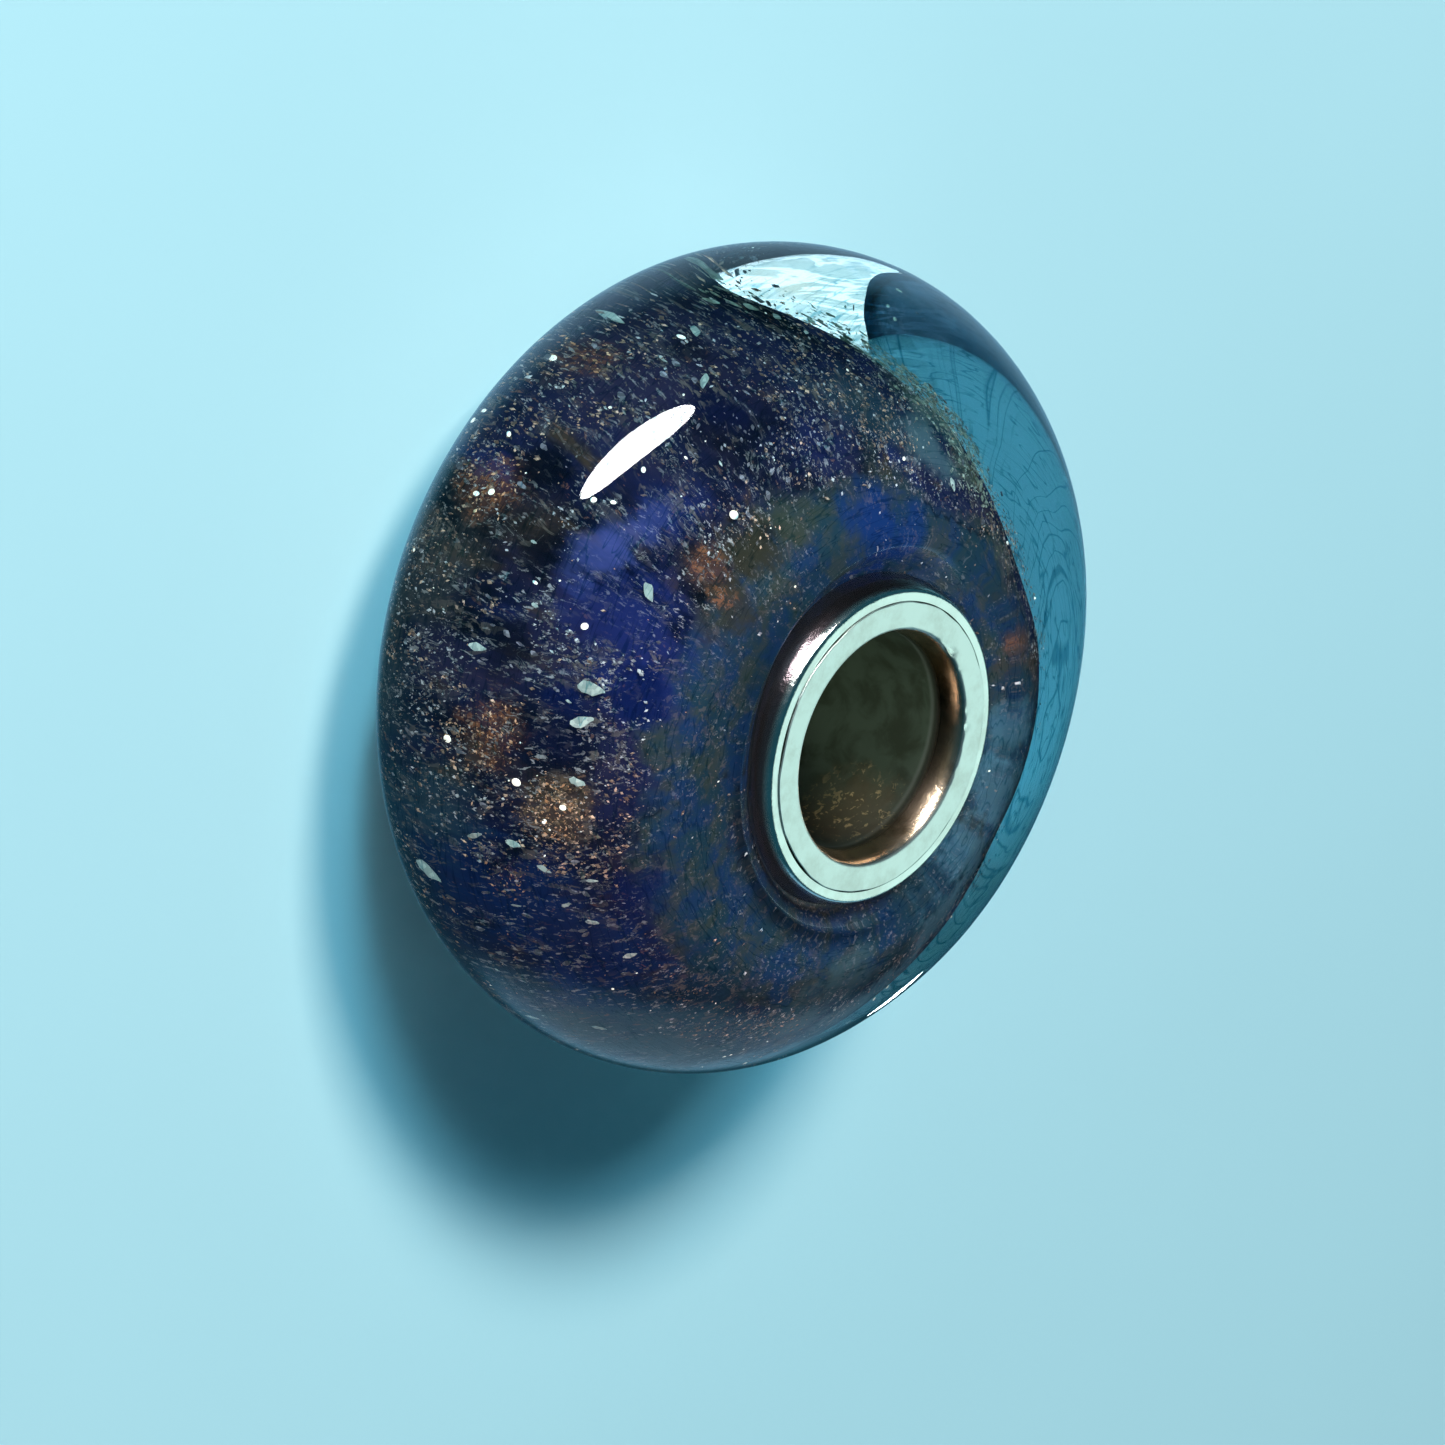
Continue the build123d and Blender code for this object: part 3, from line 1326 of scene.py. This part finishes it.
@dataclass
class CoreTube(LathePiece):
    """The silver tube through the bead, flared flat at both ends."""

    name: str = "flared_core"
    node: str = "core_tube"
    wall: float = 0.20 * MM
    flange_thickness: float = 0.25 * MM
    flange_overlap: float = 0.012 * MM
    spacing: float = 0.07 * MM
    mouth_width: float = 0.21 * MM
    mouth_depth: float = 0.78 * MM
    mouth_steps: int = 20
    edge_wave: float = 0.035 * MM
    edge_band: float = 0.25 * MM
    wave_sizes: tuple[float, float] = (1.1 * MM, 0.35 * MM)
    pit_azimuth: float = 145.0
    pit_depth: float = 0.10 * MM
    pit_reach: float = 0.10 * MM
    pit_sizes: tuple[float, float] = (0.16 * MM, 0.08 * MM)

    def outline(self) -> Outline:
        """Section of the tube.

        Returns:
            Points of radius and height, all round the section.
        """
        sizes = self.sizes
        bore, top = sizes.bore_radius, sizes.face_z
        rim = sizes.flange_radius + self.flange_overlap
        under = top - self.flange_thickness
        mouth = []
        for step in range(self.mouth_steps + 1):
            turn = radians(90.0 * step / self.mouth_steps)
            radius = bore + self.mouth_width * (1.0 - cos(turn))
            mouth.append((radius, top - self.mouth_depth * (1.0 - sin(turn)), 0.0))
        edge = [(rim, top, 0.02 * MM), (rim, under, 0.02 * MM), (bore + self.wall, under, 0.12 * MM)]
        upper = mouth + edge
        lower = [(radius, -height, rounding) for radius, height, rounding in reversed(upper)]
        return rounded(upper + lower, self.spacing)

    def settle(self, point: Vector) -> Vector:
        """Gives the flared edge its slight waviness, and pits one side of the mouth.

        Args:
            point: a point of the turned tube.

        Returns:
            Its finished place.
        """
        sizes = self.sizes
        radius = off_axis(point)
        high = abs(point.z) > sizes.face_z - self.mouth_depth
        edge = span(radius, sizes.flange_radius - self.edge_band, sizes.flange_radius) if high else 0.0
        slow, quick = self.wave_sizes
        wave = max(0.0, 0.35 + ripple(point, slow, 4.0) + 0.5 * ripple(point, quick, 8.0))
        point = point - around(point) * self.edge_wave * edge * wave
        side = facing(point, self.pit_azimuth) ** 3
        lip = 1.0 - span(abs(radius - sizes.bore_radius - self.mouth_width), 0.0, self.pit_reach)
        large, small = self.pit_sizes
        pits = max(0.0, ripple(point, large, 12.0) + 0.35 * ripple(point, small, 5.0))
        drop = self.pit_depth * side * lip * pits if high else 0.0
        return point - Vector((0.0, 0.0, drop if point.z > 0.0 else -drop))


@dataclass
class Collar(LathePiece):
    """A silver ring seated in the glass's dimple under one flange."""

    end: End = End.FRONT
    turns: int = 224
    wall: float = 0.23 * MM
    recess_gap: float = 0.014 * MM
    recess_depth: float = 0.28 * MM
    foot_radius: float = 2.96 * MM
    foot_z: float = 3.34 * MM
    shoulder_z: float = 3.62 * MM
    shoulder: float = 0.16 * MM
    spacing: float = 0.05 * MM

    def __post_init__(self) -> None:
        """Names the ring after its end."""
        side = self.end.name.lower()
        self.name, self.node = f"{side}_ring", f"{side}_collar"

    def outline(self) -> Outline:
        """Section of the ring.

        Returns:
            Points of radius and height, all round the section.
        """
        sizes = self.sizes
        inner = sizes.bore_radius + self.wall
        recess = sizes.flange_radius + self.recess_gap
        floor_z = sizes.face_z - self.recess_depth
        corners = [
            (inner, sizes.collar_foot_z + 0.02 * MM, 0.0),
            (self.foot_radius, self.foot_z, 0.03 * MM),
            (self.foot_radius, self.shoulder_z, self.shoulder),
            (sizes.collar_radius, sizes.collar_top_z, 0.07 * MM),
            (recess, sizes.collar_top_z, 0.01 * MM),
            (recess, floor_z, 0.0),
            (inner, floor_z, 0.06 * MM),
        ]
        return [(radius, self.end.value * height) for radius, height in rounded(corners, self.spacing)]


# Studio


@dataclass(frozen=True)
class Softbox:
    """A soft lamp that faces the bead, rectangular unless it is rounded."""

    name: str
    azimuth: float
    elevation: float
    distance: float
    size: tuple[float, float]
    roll: float
    power: float
    colour: Colour = (1.0, 1.0, 1.0)
    mirrored: bool = True
    diffuse: bool = True
    rounded: bool = False
    lit: Lit = Lit.ALL

    def build(self, pieces: dict[Lit, list[Piece]]) -> Piece:
        """Adds the lamp.

        Args:
            pieces: the bead's pieces, for lamps that shine on some pieces only.

        Returns:
            The lamp.
        """
        data = bpy.data.lights.new(self.name, "AREA")
        data.shape = "ELLIPSE" if self.rounded else "RECTANGLE"
        data.size, data.size_y = self.size
        data.energy = self.power
        data.color = self.colour
        lamp = bpy.data.objects.new(self.name, data)
        lamp.visible_glossy = self.mirrored
        lamp.visible_diffuse = self.diffuse
        lamp.visible_camera = False
        place = cylindrical(self.azimuth, cos(radians(self.elevation)), sin(radians(self.elevation)))
        towards = (-place).to_track_quat("-Z", "Y").to_matrix().to_4x4()
        roll = Matrix.Rotation(radians(self.roll), 4, "Z")
        lamp.matrix_world = Matrix.Translation(place * self.distance) @ towards @ roll
        bpy.context.scene.collection.objects.link(lamp)
        if self.lit is not Lit.ALL:
            receivers = bpy.data.collections.new(f"{self.name}_pieces")
            for piece in pieces[self.lit]:
                receivers.objects.link(piece)
            lamp.light_linking.receiver_collection = receivers
        return lamp


WINDOW_PINK = (0.88, 0.43, 0.40)
FACE_GREEN = (0.74, 0.98, 0.90)
BORE_CREAM = (0.9, 1.0, 0.85)
REAR_ROSE = (1.0, 0.86, 0.88)
GLINT_BLUE = (0.80, 0.86, 1.0)


@dataclass
class Studio:
    """Floor, lamps, surroundings and camera."""

    sizes: BeadSizes
    floor_width: float = 600 * MM
    camera_elevation: float = 40.0
    camera_roll: float = 110.2
    camera_distance: float = 109.9 * MM
    aim_right: float = 0.302 * MM
    aim_up: float = 1.100 * MM
    focal_length: float = 155.1
    sensor_width: float = 36.0
    surround_colour: Colour = (0.12, 0.62, 0.90)
    surround_strength: float = 0.10
    rim_colour: Colour = (0.29, 0.55, 0.76)
    rim_strength: float = 0.85
    rim_direction: Vector = Vector((-0.48, 0.54, -0.69))
    low_rim_direction: Vector = Vector((0.70, 0.68, -0.22))
    backdrop_colour: Colour = (0.36, 0.80, 0.90)
    softboxes: tuple[Softbox, ...] = (
        Softbox("strip", -130.8, 13.8, 0.25, (0.178, 0.056), -24.0, 0.72, diffuse=False, rounded=True),
        Softbox("key", -137.0, 43.0, 0.30, (0.055, 0.055), 0.0, 1.25, mirrored=False, lit=Lit.GLASS),
        Softbox("fill", -100.0, 35.0, 0.35, (0.20, 0.20), 0.0, 0.34, mirrored=False, lit=Lit.BEAD),
        Softbox("back_window", 14.0, 40.0, 0.30, (0.22, 0.14), 0.0, 1.35, WINDOW_PINK, False, False),
        Softbox("face_light", 90.0, 42.0, 0.3, (0.3, 0.3), 0.0, 0.3, FACE_GREEN, True, False, lit=Lit.SILVER),
        Softbox("bore_light", -60.0, 50.0, 0.30, (0.10, 0.10), 0.0, 0.60, BORE_CREAM, False, lit=Lit.SILVER),
        Softbox("rear_fill", 108.0, 12.0, 0.30, (0.16, 0.16), 0.0, 0.22, REAR_ROSE, False, lit=Lit.BEAD),
        Softbox("low_glint", 79.0, -22.5, 0.25, (0.007, 0.022), 0.0, 0.018, GLINT_BLUE, diffuse=False),
    )

    def add_floor(self) -> Piece:
        """Lays the floor under the bead's back flange.

        Returns:
            The floor.
        """
        deselect_all()
        bpy.ops.mesh.primitive_plane_add(size=self.floor_width, location=(0, 0, -self.sizes.face_z))
        floor = bpy.context.active_object
        floor.name = "floor"
        floor.data.materials.append(FloorSheet().material())
        floor.visible_glossy = False
        return floor

    def add_surroundings(self) -> None:
        """Sets soft, even light from all round, brighter behind the bead where its rim mirrors the floor."""
        world = bpy.data.worlds.new("surroundings")
        bpy.context.scene.world = world
        world.use_nodes = True
        bench = Bench(world.node_tree)
        towards = bench.node("ShaderNodeTexCoord").outputs["Generated"]
        rims = ((self.rim_direction, 0.70, 1.0), (self.low_rim_direction, 0.80, 0.97))
        near, low = (
            bench.ranged(bench.vector("DOT_PRODUCT", towards, direction), start, full)
            for direction, start, full in rims
        )
        glow = bench.math("MAXIMUM", near, low)
        seen = bench.node("ShaderNodeLightPath").outputs["Is Camera Ray"]
        strength = bench.ranged(glow, 0.0, 1.0, self.surround_strength, self.rim_strength)
        backdrop = world.node_tree.nodes["Background"]
        bench.feed(backdrop.inputs["Strength"], bench.ranged(seen, 0.0, 1.0, strength, 1.0))
        surround = bench.blend(glow, self.surround_colour, self.rim_colour)
        bench.feed(backdrop.inputs["Color"], bench.blend(seen, surround, self.backdrop_colour))

    def add_camera(self) -> None:
        """Places the camera at the photo's angle to the bead."""
        tilt = radians(self.camera_elevation)
        ahead = Vector((0.0, cos(tilt), -sin(tilt)))
        level_up = Vector((0.0, sin(tilt), cos(tilt)))
        level_right = Vector((1.0, 0.0, 0.0))
        roll = radians(self.camera_roll)
        right = level_right * cos(roll) + level_up * sin(roll)
        up = right.cross(ahead)
        centre = Vector((self.sizes.glass_centre.x, self.sizes.glass_centre.y, 0.0))
        place = centre - right * self.aim_right - up * self.aim_up - ahead * self.camera_distance
        data = bpy.data.cameras.new("camera")
        data.sensor_width = self.sensor_width
        data.lens = self.focal_length
        data.clip_start = MM
        camera = bpy.data.objects.new("camera", data)
        camera.matrix_world = Matrix.Translation(place) @ Matrix((right, up, -ahead)).transposed().to_4x4()
        bpy.context.scene.collection.objects.link(camera)
        bpy.context.scene.camera = camera

    def set_colour_response(self) -> None:
        """Keeps deep and saturated colours as they are."""
        view = bpy.context.scene.view_settings
        view.view_transform = "Standard"
        view.look = "None"

    def build(self, pieces: dict[Lit, list[Piece]]) -> None:
        """Sets up the whole studio.

        Args:
            pieces: the bead's pieces, for lamps that shine on some pieces only.
        """
        self.set_colour_response()
        self.add_camera()
        floor = self.add_floor()
        self.add_surroundings()
        receivers = {**pieces, Lit.GLASS: pieces[Lit.GLASS] + [floor]}
        for softbox in self.softboxes:
            softbox.build(receivers)


# The bead


# Columns: colour, azimuth, height, reach, strength, radius, grain
PATCHES = tuple(
    Patch(GlassColour[row[0]], *row[1:])
    for row in (
        ("SLATE", -68.0, -2.1, 1.5, 0.6), ("ASH", -92.0, -2.0, 1.6, 0.7, 5.1, 0.4),
        ("ASH", -72.0, -2.2, 1.2, 0.5, 5.1, 0.5), ("SLATE", -45.0, -1.6, 1.5, 0.8, 5.4),
        ("VIOLET", -152.0, -1.6, 1.8, 0.8, 4.9), ("VIOLET", -134.0, -0.8, 1.5, 0.8),
        ("VIOLET", -146.0, 0.2, 1.2, 0.6, 5.0), ("MIDNIGHT", -142.0, 0.5, 0.9),
        ("MIDNIGHT", -112.0, -0.6, 0.9), ("BLACK", -70.0, 1.3, 1.1), ("MIDNIGHT", -60.0, 0.5, 1.0),
        ("MIDNIGHT", -50.0, 2.1, 1.4, 0.8), ("COBALT", -95.0, 1.9, 1.5, 0.9, 5.0),
        ("COBALT", -83.0, 2.6, 0.8, 0.8, 4.7), ("COBALT", -118.0, 1.5, 0.8, 0.8, 5.0),
        ("VIOLET", -92.0, 0.9, 1.0, 0.6), ("COBALT", -150.0, 1.6, 0.9, 0.35, 4.9),
        ("TEAL_GREY", -172.0, 1.2, 1.4, 0.35, 4.9), ("COPPER", -110.0, -1.2, 0.75, 0.8, 5.2, 0.75),
        ("BROWN", -106.0, -0.4, 0.8, 0.6, 5.2, 0.4), ("GOLD", -59.0, 1.55, 0.75, 0.9, 5.3, 0.8),
        ("BROWN", -59.0, 1.55, 1.0, 0.5), ("COPPER", -70.0, 0.3, 0.75, 0.7, 5.4, 0.8),
        ("COPPER", -45.0, 0.6, 0.6, 0.5, 5.4, 0.9), ("BROWN", -112.0, 2.4, 0.7, 0.7, 4.7, 0.5),
        ("COPPER", -113.0, 2.45, 0.5, 0.7, 4.7, 0.8), ("UMBER", -107.0, 2.95, 0.75, 0.8, 4.2),
        ("COPPER", -108.0, 2.85, 0.35, 0.5, 4.4, 0.9), ("COPPER", -140.0, -1.5, 0.6, 0.5, 4.9, 0.8),
        ("NAVY", -36.0, 1.2, 1.6, 0.7, 5.4), ("ROYAL", -44.0, -0.4, 1.6, 0.6, 5.5),
        ("INDIGO", -33.0, 1.2, 1.2, 0.8, 5.4), ("INDIGO", -20.0, 1.1, 1.2, 0.7, 5.5),
        ("SLATE", -8.0, 2.5, 1.5, 0.8, 5.1), ("ROYAL", -40.0, 0.9, 1.5, 0.7, 5.4),
        ("ROYAL", -26.0, 1.7, 1.5, 0.8, 5.4), ("END_BLUE", -10.0, 1.6, 1.6, 0.8, 5.5),
        # These two patches are painted light: they lighten the barrel at its front shoulder on this side,
        # standing in for light showing through the clear glass.
        ("TEAL_GREY", 30.0, 2.9, 1.1, 0.7, 4.6), ("TEAL_GREY", 52.0, 2.7, 1.0, 0.6, 4.7),
        ("OLIVE", -6.0, 0.2, 0.9, 0.7, 5.7), ("TEAL_GREY", 2.0, 1.0, 1.9, 0.7, 5.5),
        ("TEAL_GREY", 18.0, 2.6, 1.0, 0.5, 5.0), ("OLIVE", -132.0, 2.75, 0.75, 0.95, 4.3),
        ("UMBER", -122.0, 2.7, 0.8, 0.9, 4.5), ("OLIVE", -165.0, 2.5, 0.8, 0.6, 4.3),
        ("ROYAL", -157.0, 3.05, 0.9, 0.95, 3.9), ("ROYAL", -170.0, 3.15, 0.8, 0.8, 3.7),
        ("ROYAL", -151.0, 3.12, 0.35, 1.0, 3.15), ("ROYAL", -162.0, 3.14, 0.35, 1.0, 3.15),
        ("BLACK", -127.0, 2.8, 0.25, 0.9, 4.5), ("BROWN", 126.0, 3.0, 0.6, 0.9, 4.2),
        ("COPPER", 128.0, 3.05, 0.3, 0.4, 4.1, 0.8), ("BROWN", 120.0, 2.7, 0.6, 0.8, 4.7),
        ("SLATE", 100.0, 3.1, 1.6, 0.7, 4.1), ("SLATE", 60.0, 3.1, 1.8, 0.7, 4.0),
        ("FRINGE", 168.0, 0.4, 1.0, 0.7, 5.2, 0.3), ("FRINGE", 165.0, 1.6, 0.8, 0.6, 4.9, 0.3),
        ("FRINGE", 150.0, 2.5, 0.6, 0.5, 4.5, 0.4), ("FRINGE", 167.0, -1.2, 0.9, 0.6, 5.1, 0.3),
    )
)

# Columns as above; these are laid over the dust
VEILS = tuple(
    Patch(GlassColour[row[0]], *row[1:])
    for row in (
        ("COBALT", -97.0, 1.6, 1.1, 0.75, 5.1), ("GLOW", -105.0, 0.95, 0.75, 0.65),
        ("GLOW", -110.0, 1.15, 0.6, 0.6), ("GLOW", -116.0, 1.35, 0.5, 0.35),
        ("BLACK", -116.0, -0.7, 0.75, 0.95), ("BLACK", -101.0, 0.05, 0.55, 0.7),
        ("BLACK", -85.0, 0.15, 0.7, 0.75, 5.4), ("BLACK", -152.0, -0.9, 0.45, 0.6, 4.9),
        ("BLACK", -146.0, 1.1, 0.6, 0.7, 4.9), ("DEEP_BLUE", -79.0, 1.4, 0.65, 0.85, 5.3),
        ("DEEP_BLUE", -82.0, 2.45, 0.7, 0.9, 4.8), ("DEEP_BLUE", -40.0, 2.7, 0.8, 0.6, 4.9),
        ("UMBER", -121.0, 2.85, 0.6, 0.75, 4.4), ("TEAL_GREY", -54.0, -0.7, 1.1, 0.5, 5.5),
        ("MIST", 24.0, 0.5, 0.8, 0.5, 5.7), ("MIST", 35.0, 0.3, 0.7, 0.6, 5.7),
        ("MIST", 70.0, -2.5, 0.9, 0.3, 4.85), ("MIST", 48.0, 2.0, 1.0, 0.4, 5.2),
        ("MIST", 60.0, 2.9, 1.0, 0.35, 4.7), ("MIST", 74.0, 3.05, 1.0, 0.4, 4.4),
        ("MIST", 90.0, 3.1, 0.9, 0.4, 4.25), ("MIST", 106.0, 3.15, 0.7, 0.3, 4.1),
        ("MIDNIGHT", -72.0, 1.4, 0.8, 0.85, 5.3), ("MIDNIGHT", -143.0, 0.7, 0.6, 0.9, 5.1),
        ("NAVY", -32.0, 1.5, 1.0, 0.6, 5.4), ("COBALT", -26.0, 1.6, 0.7, 0.5, 5.4),
        ("HAZE", 38.0, 1.9, 0.9, 0.6, 5.3), ("HAZE", 24.0, 2.3, 0.8, 0.5, 5.2),
        ("HAZE", 178.0, 1.7, 0.9, 0.6, 4.9), ("HAZE", 170.0, 0.8, 0.8, 0.5, 5.1),
        # These three patches are painted reflections: light colours on the back of the barrel, seen mirrored
        # inside the clear glass.
        ("LAGOON", 114.0, -1.5, 1.5, 0.6, 4.75), ("LAGOON", 106.0, -0.6, 1.0, 0.5, 5.1),
        ("LILAC", 110.5, -1.4, 1.1, 0.9, 4.85, 0.4),
    )
)

# Columns: azimuth, height, reach, weight
CLUSTERS = tuple(
    Cluster(*row)
    for row in (
        (-59.0, 1.5, 0.9, 1.2), (-68.0, 0.1, 1.2, 0.8), (-112.0, -1.2, 1.1, 0.7),
        (-122.0, 2.6, 0.8, 0.5), (-158.0, 0.4, 2.4, 0.2), (-46.0, 0.4, 1.0, 0.7),
        (-168.0, 2.0, 1.2, 0.3), (60.0, 0.5, 5.0, -0.9), (-28.0, 1.6, 2.0, -0.9),
        (-10.0, 0.6, 2.4, -1.0), (-38.0, -0.2, 1.4, -0.6), (-140.0, 1.3, 0.6, -0.9),
        (-134.0, -0.7, 0.7, -0.9), (-150.0, -0.5, 0.6, -0.7), (-126.0, -0.2, 0.6, -0.9),
        (-156.0, 0.9, 0.5, -0.7), (-92.0, -1.9, 1.2, 0.6), (-134.0, 2.7, 0.9, -1.2),
        (-165.0, 2.6, 0.9, -0.8), (-116.0, -0.5, 1.1, -1.0), (-100.0, 1.3, 1.6, -0.9),
        (-72.0, 1.4, 0.9, -1.2), (-82.0, 2.65, 0.8, -0.8), (-140.0, 0.4, 0.8, -1.0),
        (118.0, -1.5, 3.0, -1.0), (100.0, 0.0, 4.0, -0.8), (-85.0, 0.1, 0.8, -1.0),
        (-79.0, 1.4, 0.7, -1.0), (-101.0, 0.0, 0.6, -0.8), (-146.0, 1.1, 0.6, -0.8),
        (12.0, 0.6, 1.8, -1.2),
    )
)

# Columns: azimuth, height, reach, weight
EMBER_CLUSTERS = tuple(
    Cluster(*row)
    for row in (
        (-59.0, 1.55, 0.8, 1.0), (-70.0, 0.3, 0.8, 0.5), (-110.0, -1.2, 0.8, 0.5),
        (-45.0, 0.6, 0.6, 0.6), (-112.0, 2.4, 0.6, 0.6), (-104.0, 2.8, 0.6, 0.3),
        (-140.0, -1.5, 0.9, 0.3), (-66.0, -0.4, 0.6, 0.3),
    )
)

CHIP_GAPS = (Cluster(114.0, -1.6, 1.8, -2.0),)

# Columns: azimuth, height, reach, weight
SHARD_CLUSTERS = tuple(
    Cluster(*row)
    for row in (
        (-147.0, 1.2, 1.8, 1.6), (-136.0, 2.0, 1.0, 0.8), (-150.0, -1.0, 1.8, 0.5),
        (-38.0, 1.0, 2.0, 0.7), (-140.0, 0.4, 0.8, -1.0), (-100.0, 1.4, 1.8, -0.5),
        (60.0, 0.5, 5.0, -0.9),
    )
)

# Columns: azimuth, height, reach, weight
WISP_CLUSTERS = tuple(
    Cluster(*row)
    for row in (
        (166.0, 0.4, 1.6, 1.0), (163.0, 1.8, 1.2, 1.0), (145.0, 2.6, 0.9, 0.8), (125.0, 2.7, 0.7, 0.8),
        (168.0, -1.2, 1.3, 1.0), (-172.0, -2.0, 1.0, 0.5),
    )
)

# Columns: azimuth, height, length, lift
SPARKLES = tuple(
    Spot(*row)
    for row in (
        (-63.0, 0.9, 0.15), (-67.0, -0.4, 0.13), (-92.0, 1.35, 0.13), (-96.0, 0.3, 0.1),
        (-124.0, 2.25, 0.17), (-122.0, 0.7, 0.12), (-114.0, 0.7, 0.1), (-113.0, 0.4, 0.11),
        (-108.0, -1.1, 0.11), (-107.0, -1.3, 0.1), (-121.0, -2.1, 0.11), (-123.0, -2.0, 0.1),
        (-119.0, -1.4, 0.11), (-137.0, -1.7, 0.12), (-165.0, -2.0, 0.12), (-153.0, -1.0, 0.12),
        (-60.0, 1.7, 0.12), (-57.0, 1.4, 0.1), (110.0, -1.62, 0.085, 0.05), (111.0, -1.27, 0.055, 0.05),
        (113.2, -1.27, 0.055, 0.05),
    )
)

# Columns: azimuth, height, length, lift
CHIPS = tuple(
    Spot(*row)
    for row in (
        (-82.0, 1.8, 0.5), (-76.0, 1.8, 0.42), (-65.0, 1.9, 0.32), (-52.0, 0.15, 0.3),
        (-52.0, 0.85, 0.3), (-42.0, -0.9, 0.55), (-48.0, 1.35, 0.28), (-46.0, 2.1, 0.22),
        (-41.0, 1.6, 0.2), (-37.0, 1.95, 0.26), (-40.0, 0.7, 0.2), (-28.0, 2.3, 0.28),
        (-10.0, -0.3, 0.26), (-8.0, 0.75, 0.26), (-83.0, -0.2, 0.34), (-145.0, 0.0, 0.42),
        (-102.0, 2.0, 0.36), (-156.2, -1.02, 0.32), (-151.0, -1.7, 0.34), (174.0, 2.4, 0.3),
    )
)


@dataclass
class CharmBead:
    """The whole bead."""

    sizes: BeadSizes
    effects: Effects = field(default_factory=Effects)

    def build(self) -> dict[Lit, list[Piece]]:
        """Builds each sub-assembly in order.

        Returns:
            All pieces, the silver pieces and the glass pieces.
        """
        sizes, effects = self.sizes, self.effects
        dark = DarkGlass(2.95 * MM, PATCHES, VEILS)
        barrel = DarkBarrel(sizes).build(dark.material(effects))
        casing = ClearCasing(sizes).build(ClearGlass().material(effects))
        flecks = self.build_flecks(barrel)
        silver = Silver("core_silver", sizes.face_z, sizes.bore_radius, sizes.collar_radius).material(effects)
        core = [CoreTube(sizes).build(silver)] + [Collar(sizes, end=end).build(silver) for end in End]
        glass = [barrel, casing] + flecks
        return {Lit.BEAD: glass + core, Lit.SILVER: core, Lit.GLASS: glass}

    def build_flecks(self, barrel: Piece) -> list[Piece]:
        """Scatters the flecks over the dark glass.

        Args:
            barrel: the finished dark glass.

        Returns:
            One piece per kind of fleck.
        """
        near, low = (0.01 * MM, 0.22 * MM), (0.0, 0.20 * MM)
        copper = FleckMetal("copper_grain", (1.0, 0.60, 0.40), (0.11, 0.050, 0.028), 0.5, 0.2)
        grey = FleckMetal("grey_grain", (0.80, 0.72, 0.70), (0.055, 0.045, 0.050), 0.5, 0.1)
        ember = FleckMetal("ember", (1.0, 0.60, 0.34), (0.55, 0.22, 0.09), 0.4, 0.2)
        # Sparkles glow a little: painted glints.
        sparkle = FleckMetal("sparkle", (1.0, 0.98, 0.94), (0.95, 0.80, 0.66), 0.3, 0.2, 0.9)
        foil = FleckMetal("foil_chip", (0.66, 0.66, 0.58), (0.34, 0.37, 0.33), 0.6, 0.1)
        shard = FleckMetal("shard", (0.34, 0.30, 0.33), (0.07, 0.060, 0.075), 0.6, 0.1)
        wisp = FleckMetal("wisp", (0.40, 0.42, 0.34), (0.15, 0.16, 0.12), 0.7, 0.0)
        grains = [grain_form()]
        chips = [chip_form(seed) for seed in range(6)]
        fields = (
            FleckField(copper, "copper_grains", grains, 5500, (0.022 * MM, 0.13 * MM), near, 11,
                       contrast=3.2, clusters=CLUSTERS),
            FleckField(grey, "grey_grains", grains, 6500, (0.020 * MM, 0.12 * MM), near, 23,
                       contrast=3.0, clusters=CLUSTERS[4:]),
            FleckField(ember, "embers", grains, 650, (0.03 * MM, 0.10 * MM), near, 71, 0.9,
                       ground=0.02, clusters=EMBER_CLUSTERS),
            FleckField(sparkle, "sparkles", [disc_form()], 120, (0.03 * MM, 0.10 * MM), near, 31,
                       end_share=0.6, spots=SPARKLES),
            FleckField(foil, "foil_chips", chips, 40, (0.06 * MM, 0.20 * MM), near, 44, 0.35,
                       clusters=CHIP_GAPS, spots=CHIPS),
            FleckField(shard, "shards", chips, 750, (0.04 * MM, 0.22 * MM), near, 53, 0.3,
                       ground=0.3, clusters=SHARD_CLUSTERS),
            FleckField(wisp, "wisps", chips, 1100, (0.05 * MM, 0.20 * MM), low, 61, 0.8,
                       ground=0.0, clusters=WISP_CLUSTERS),
        )
        return [flecks.build(barrel) for flecks in fields]


def main() -> None:
    """Builds the studio and the bead."""
    logging.basicConfig(level=logging.INFO, format="%(name)s: %(message)s")
    sizes = BeadSizes.from_frame()
    pieces = CharmBead(sizes).build()
    Studio(sizes).build(pieces)


if __name__ == "__main__":
    main()
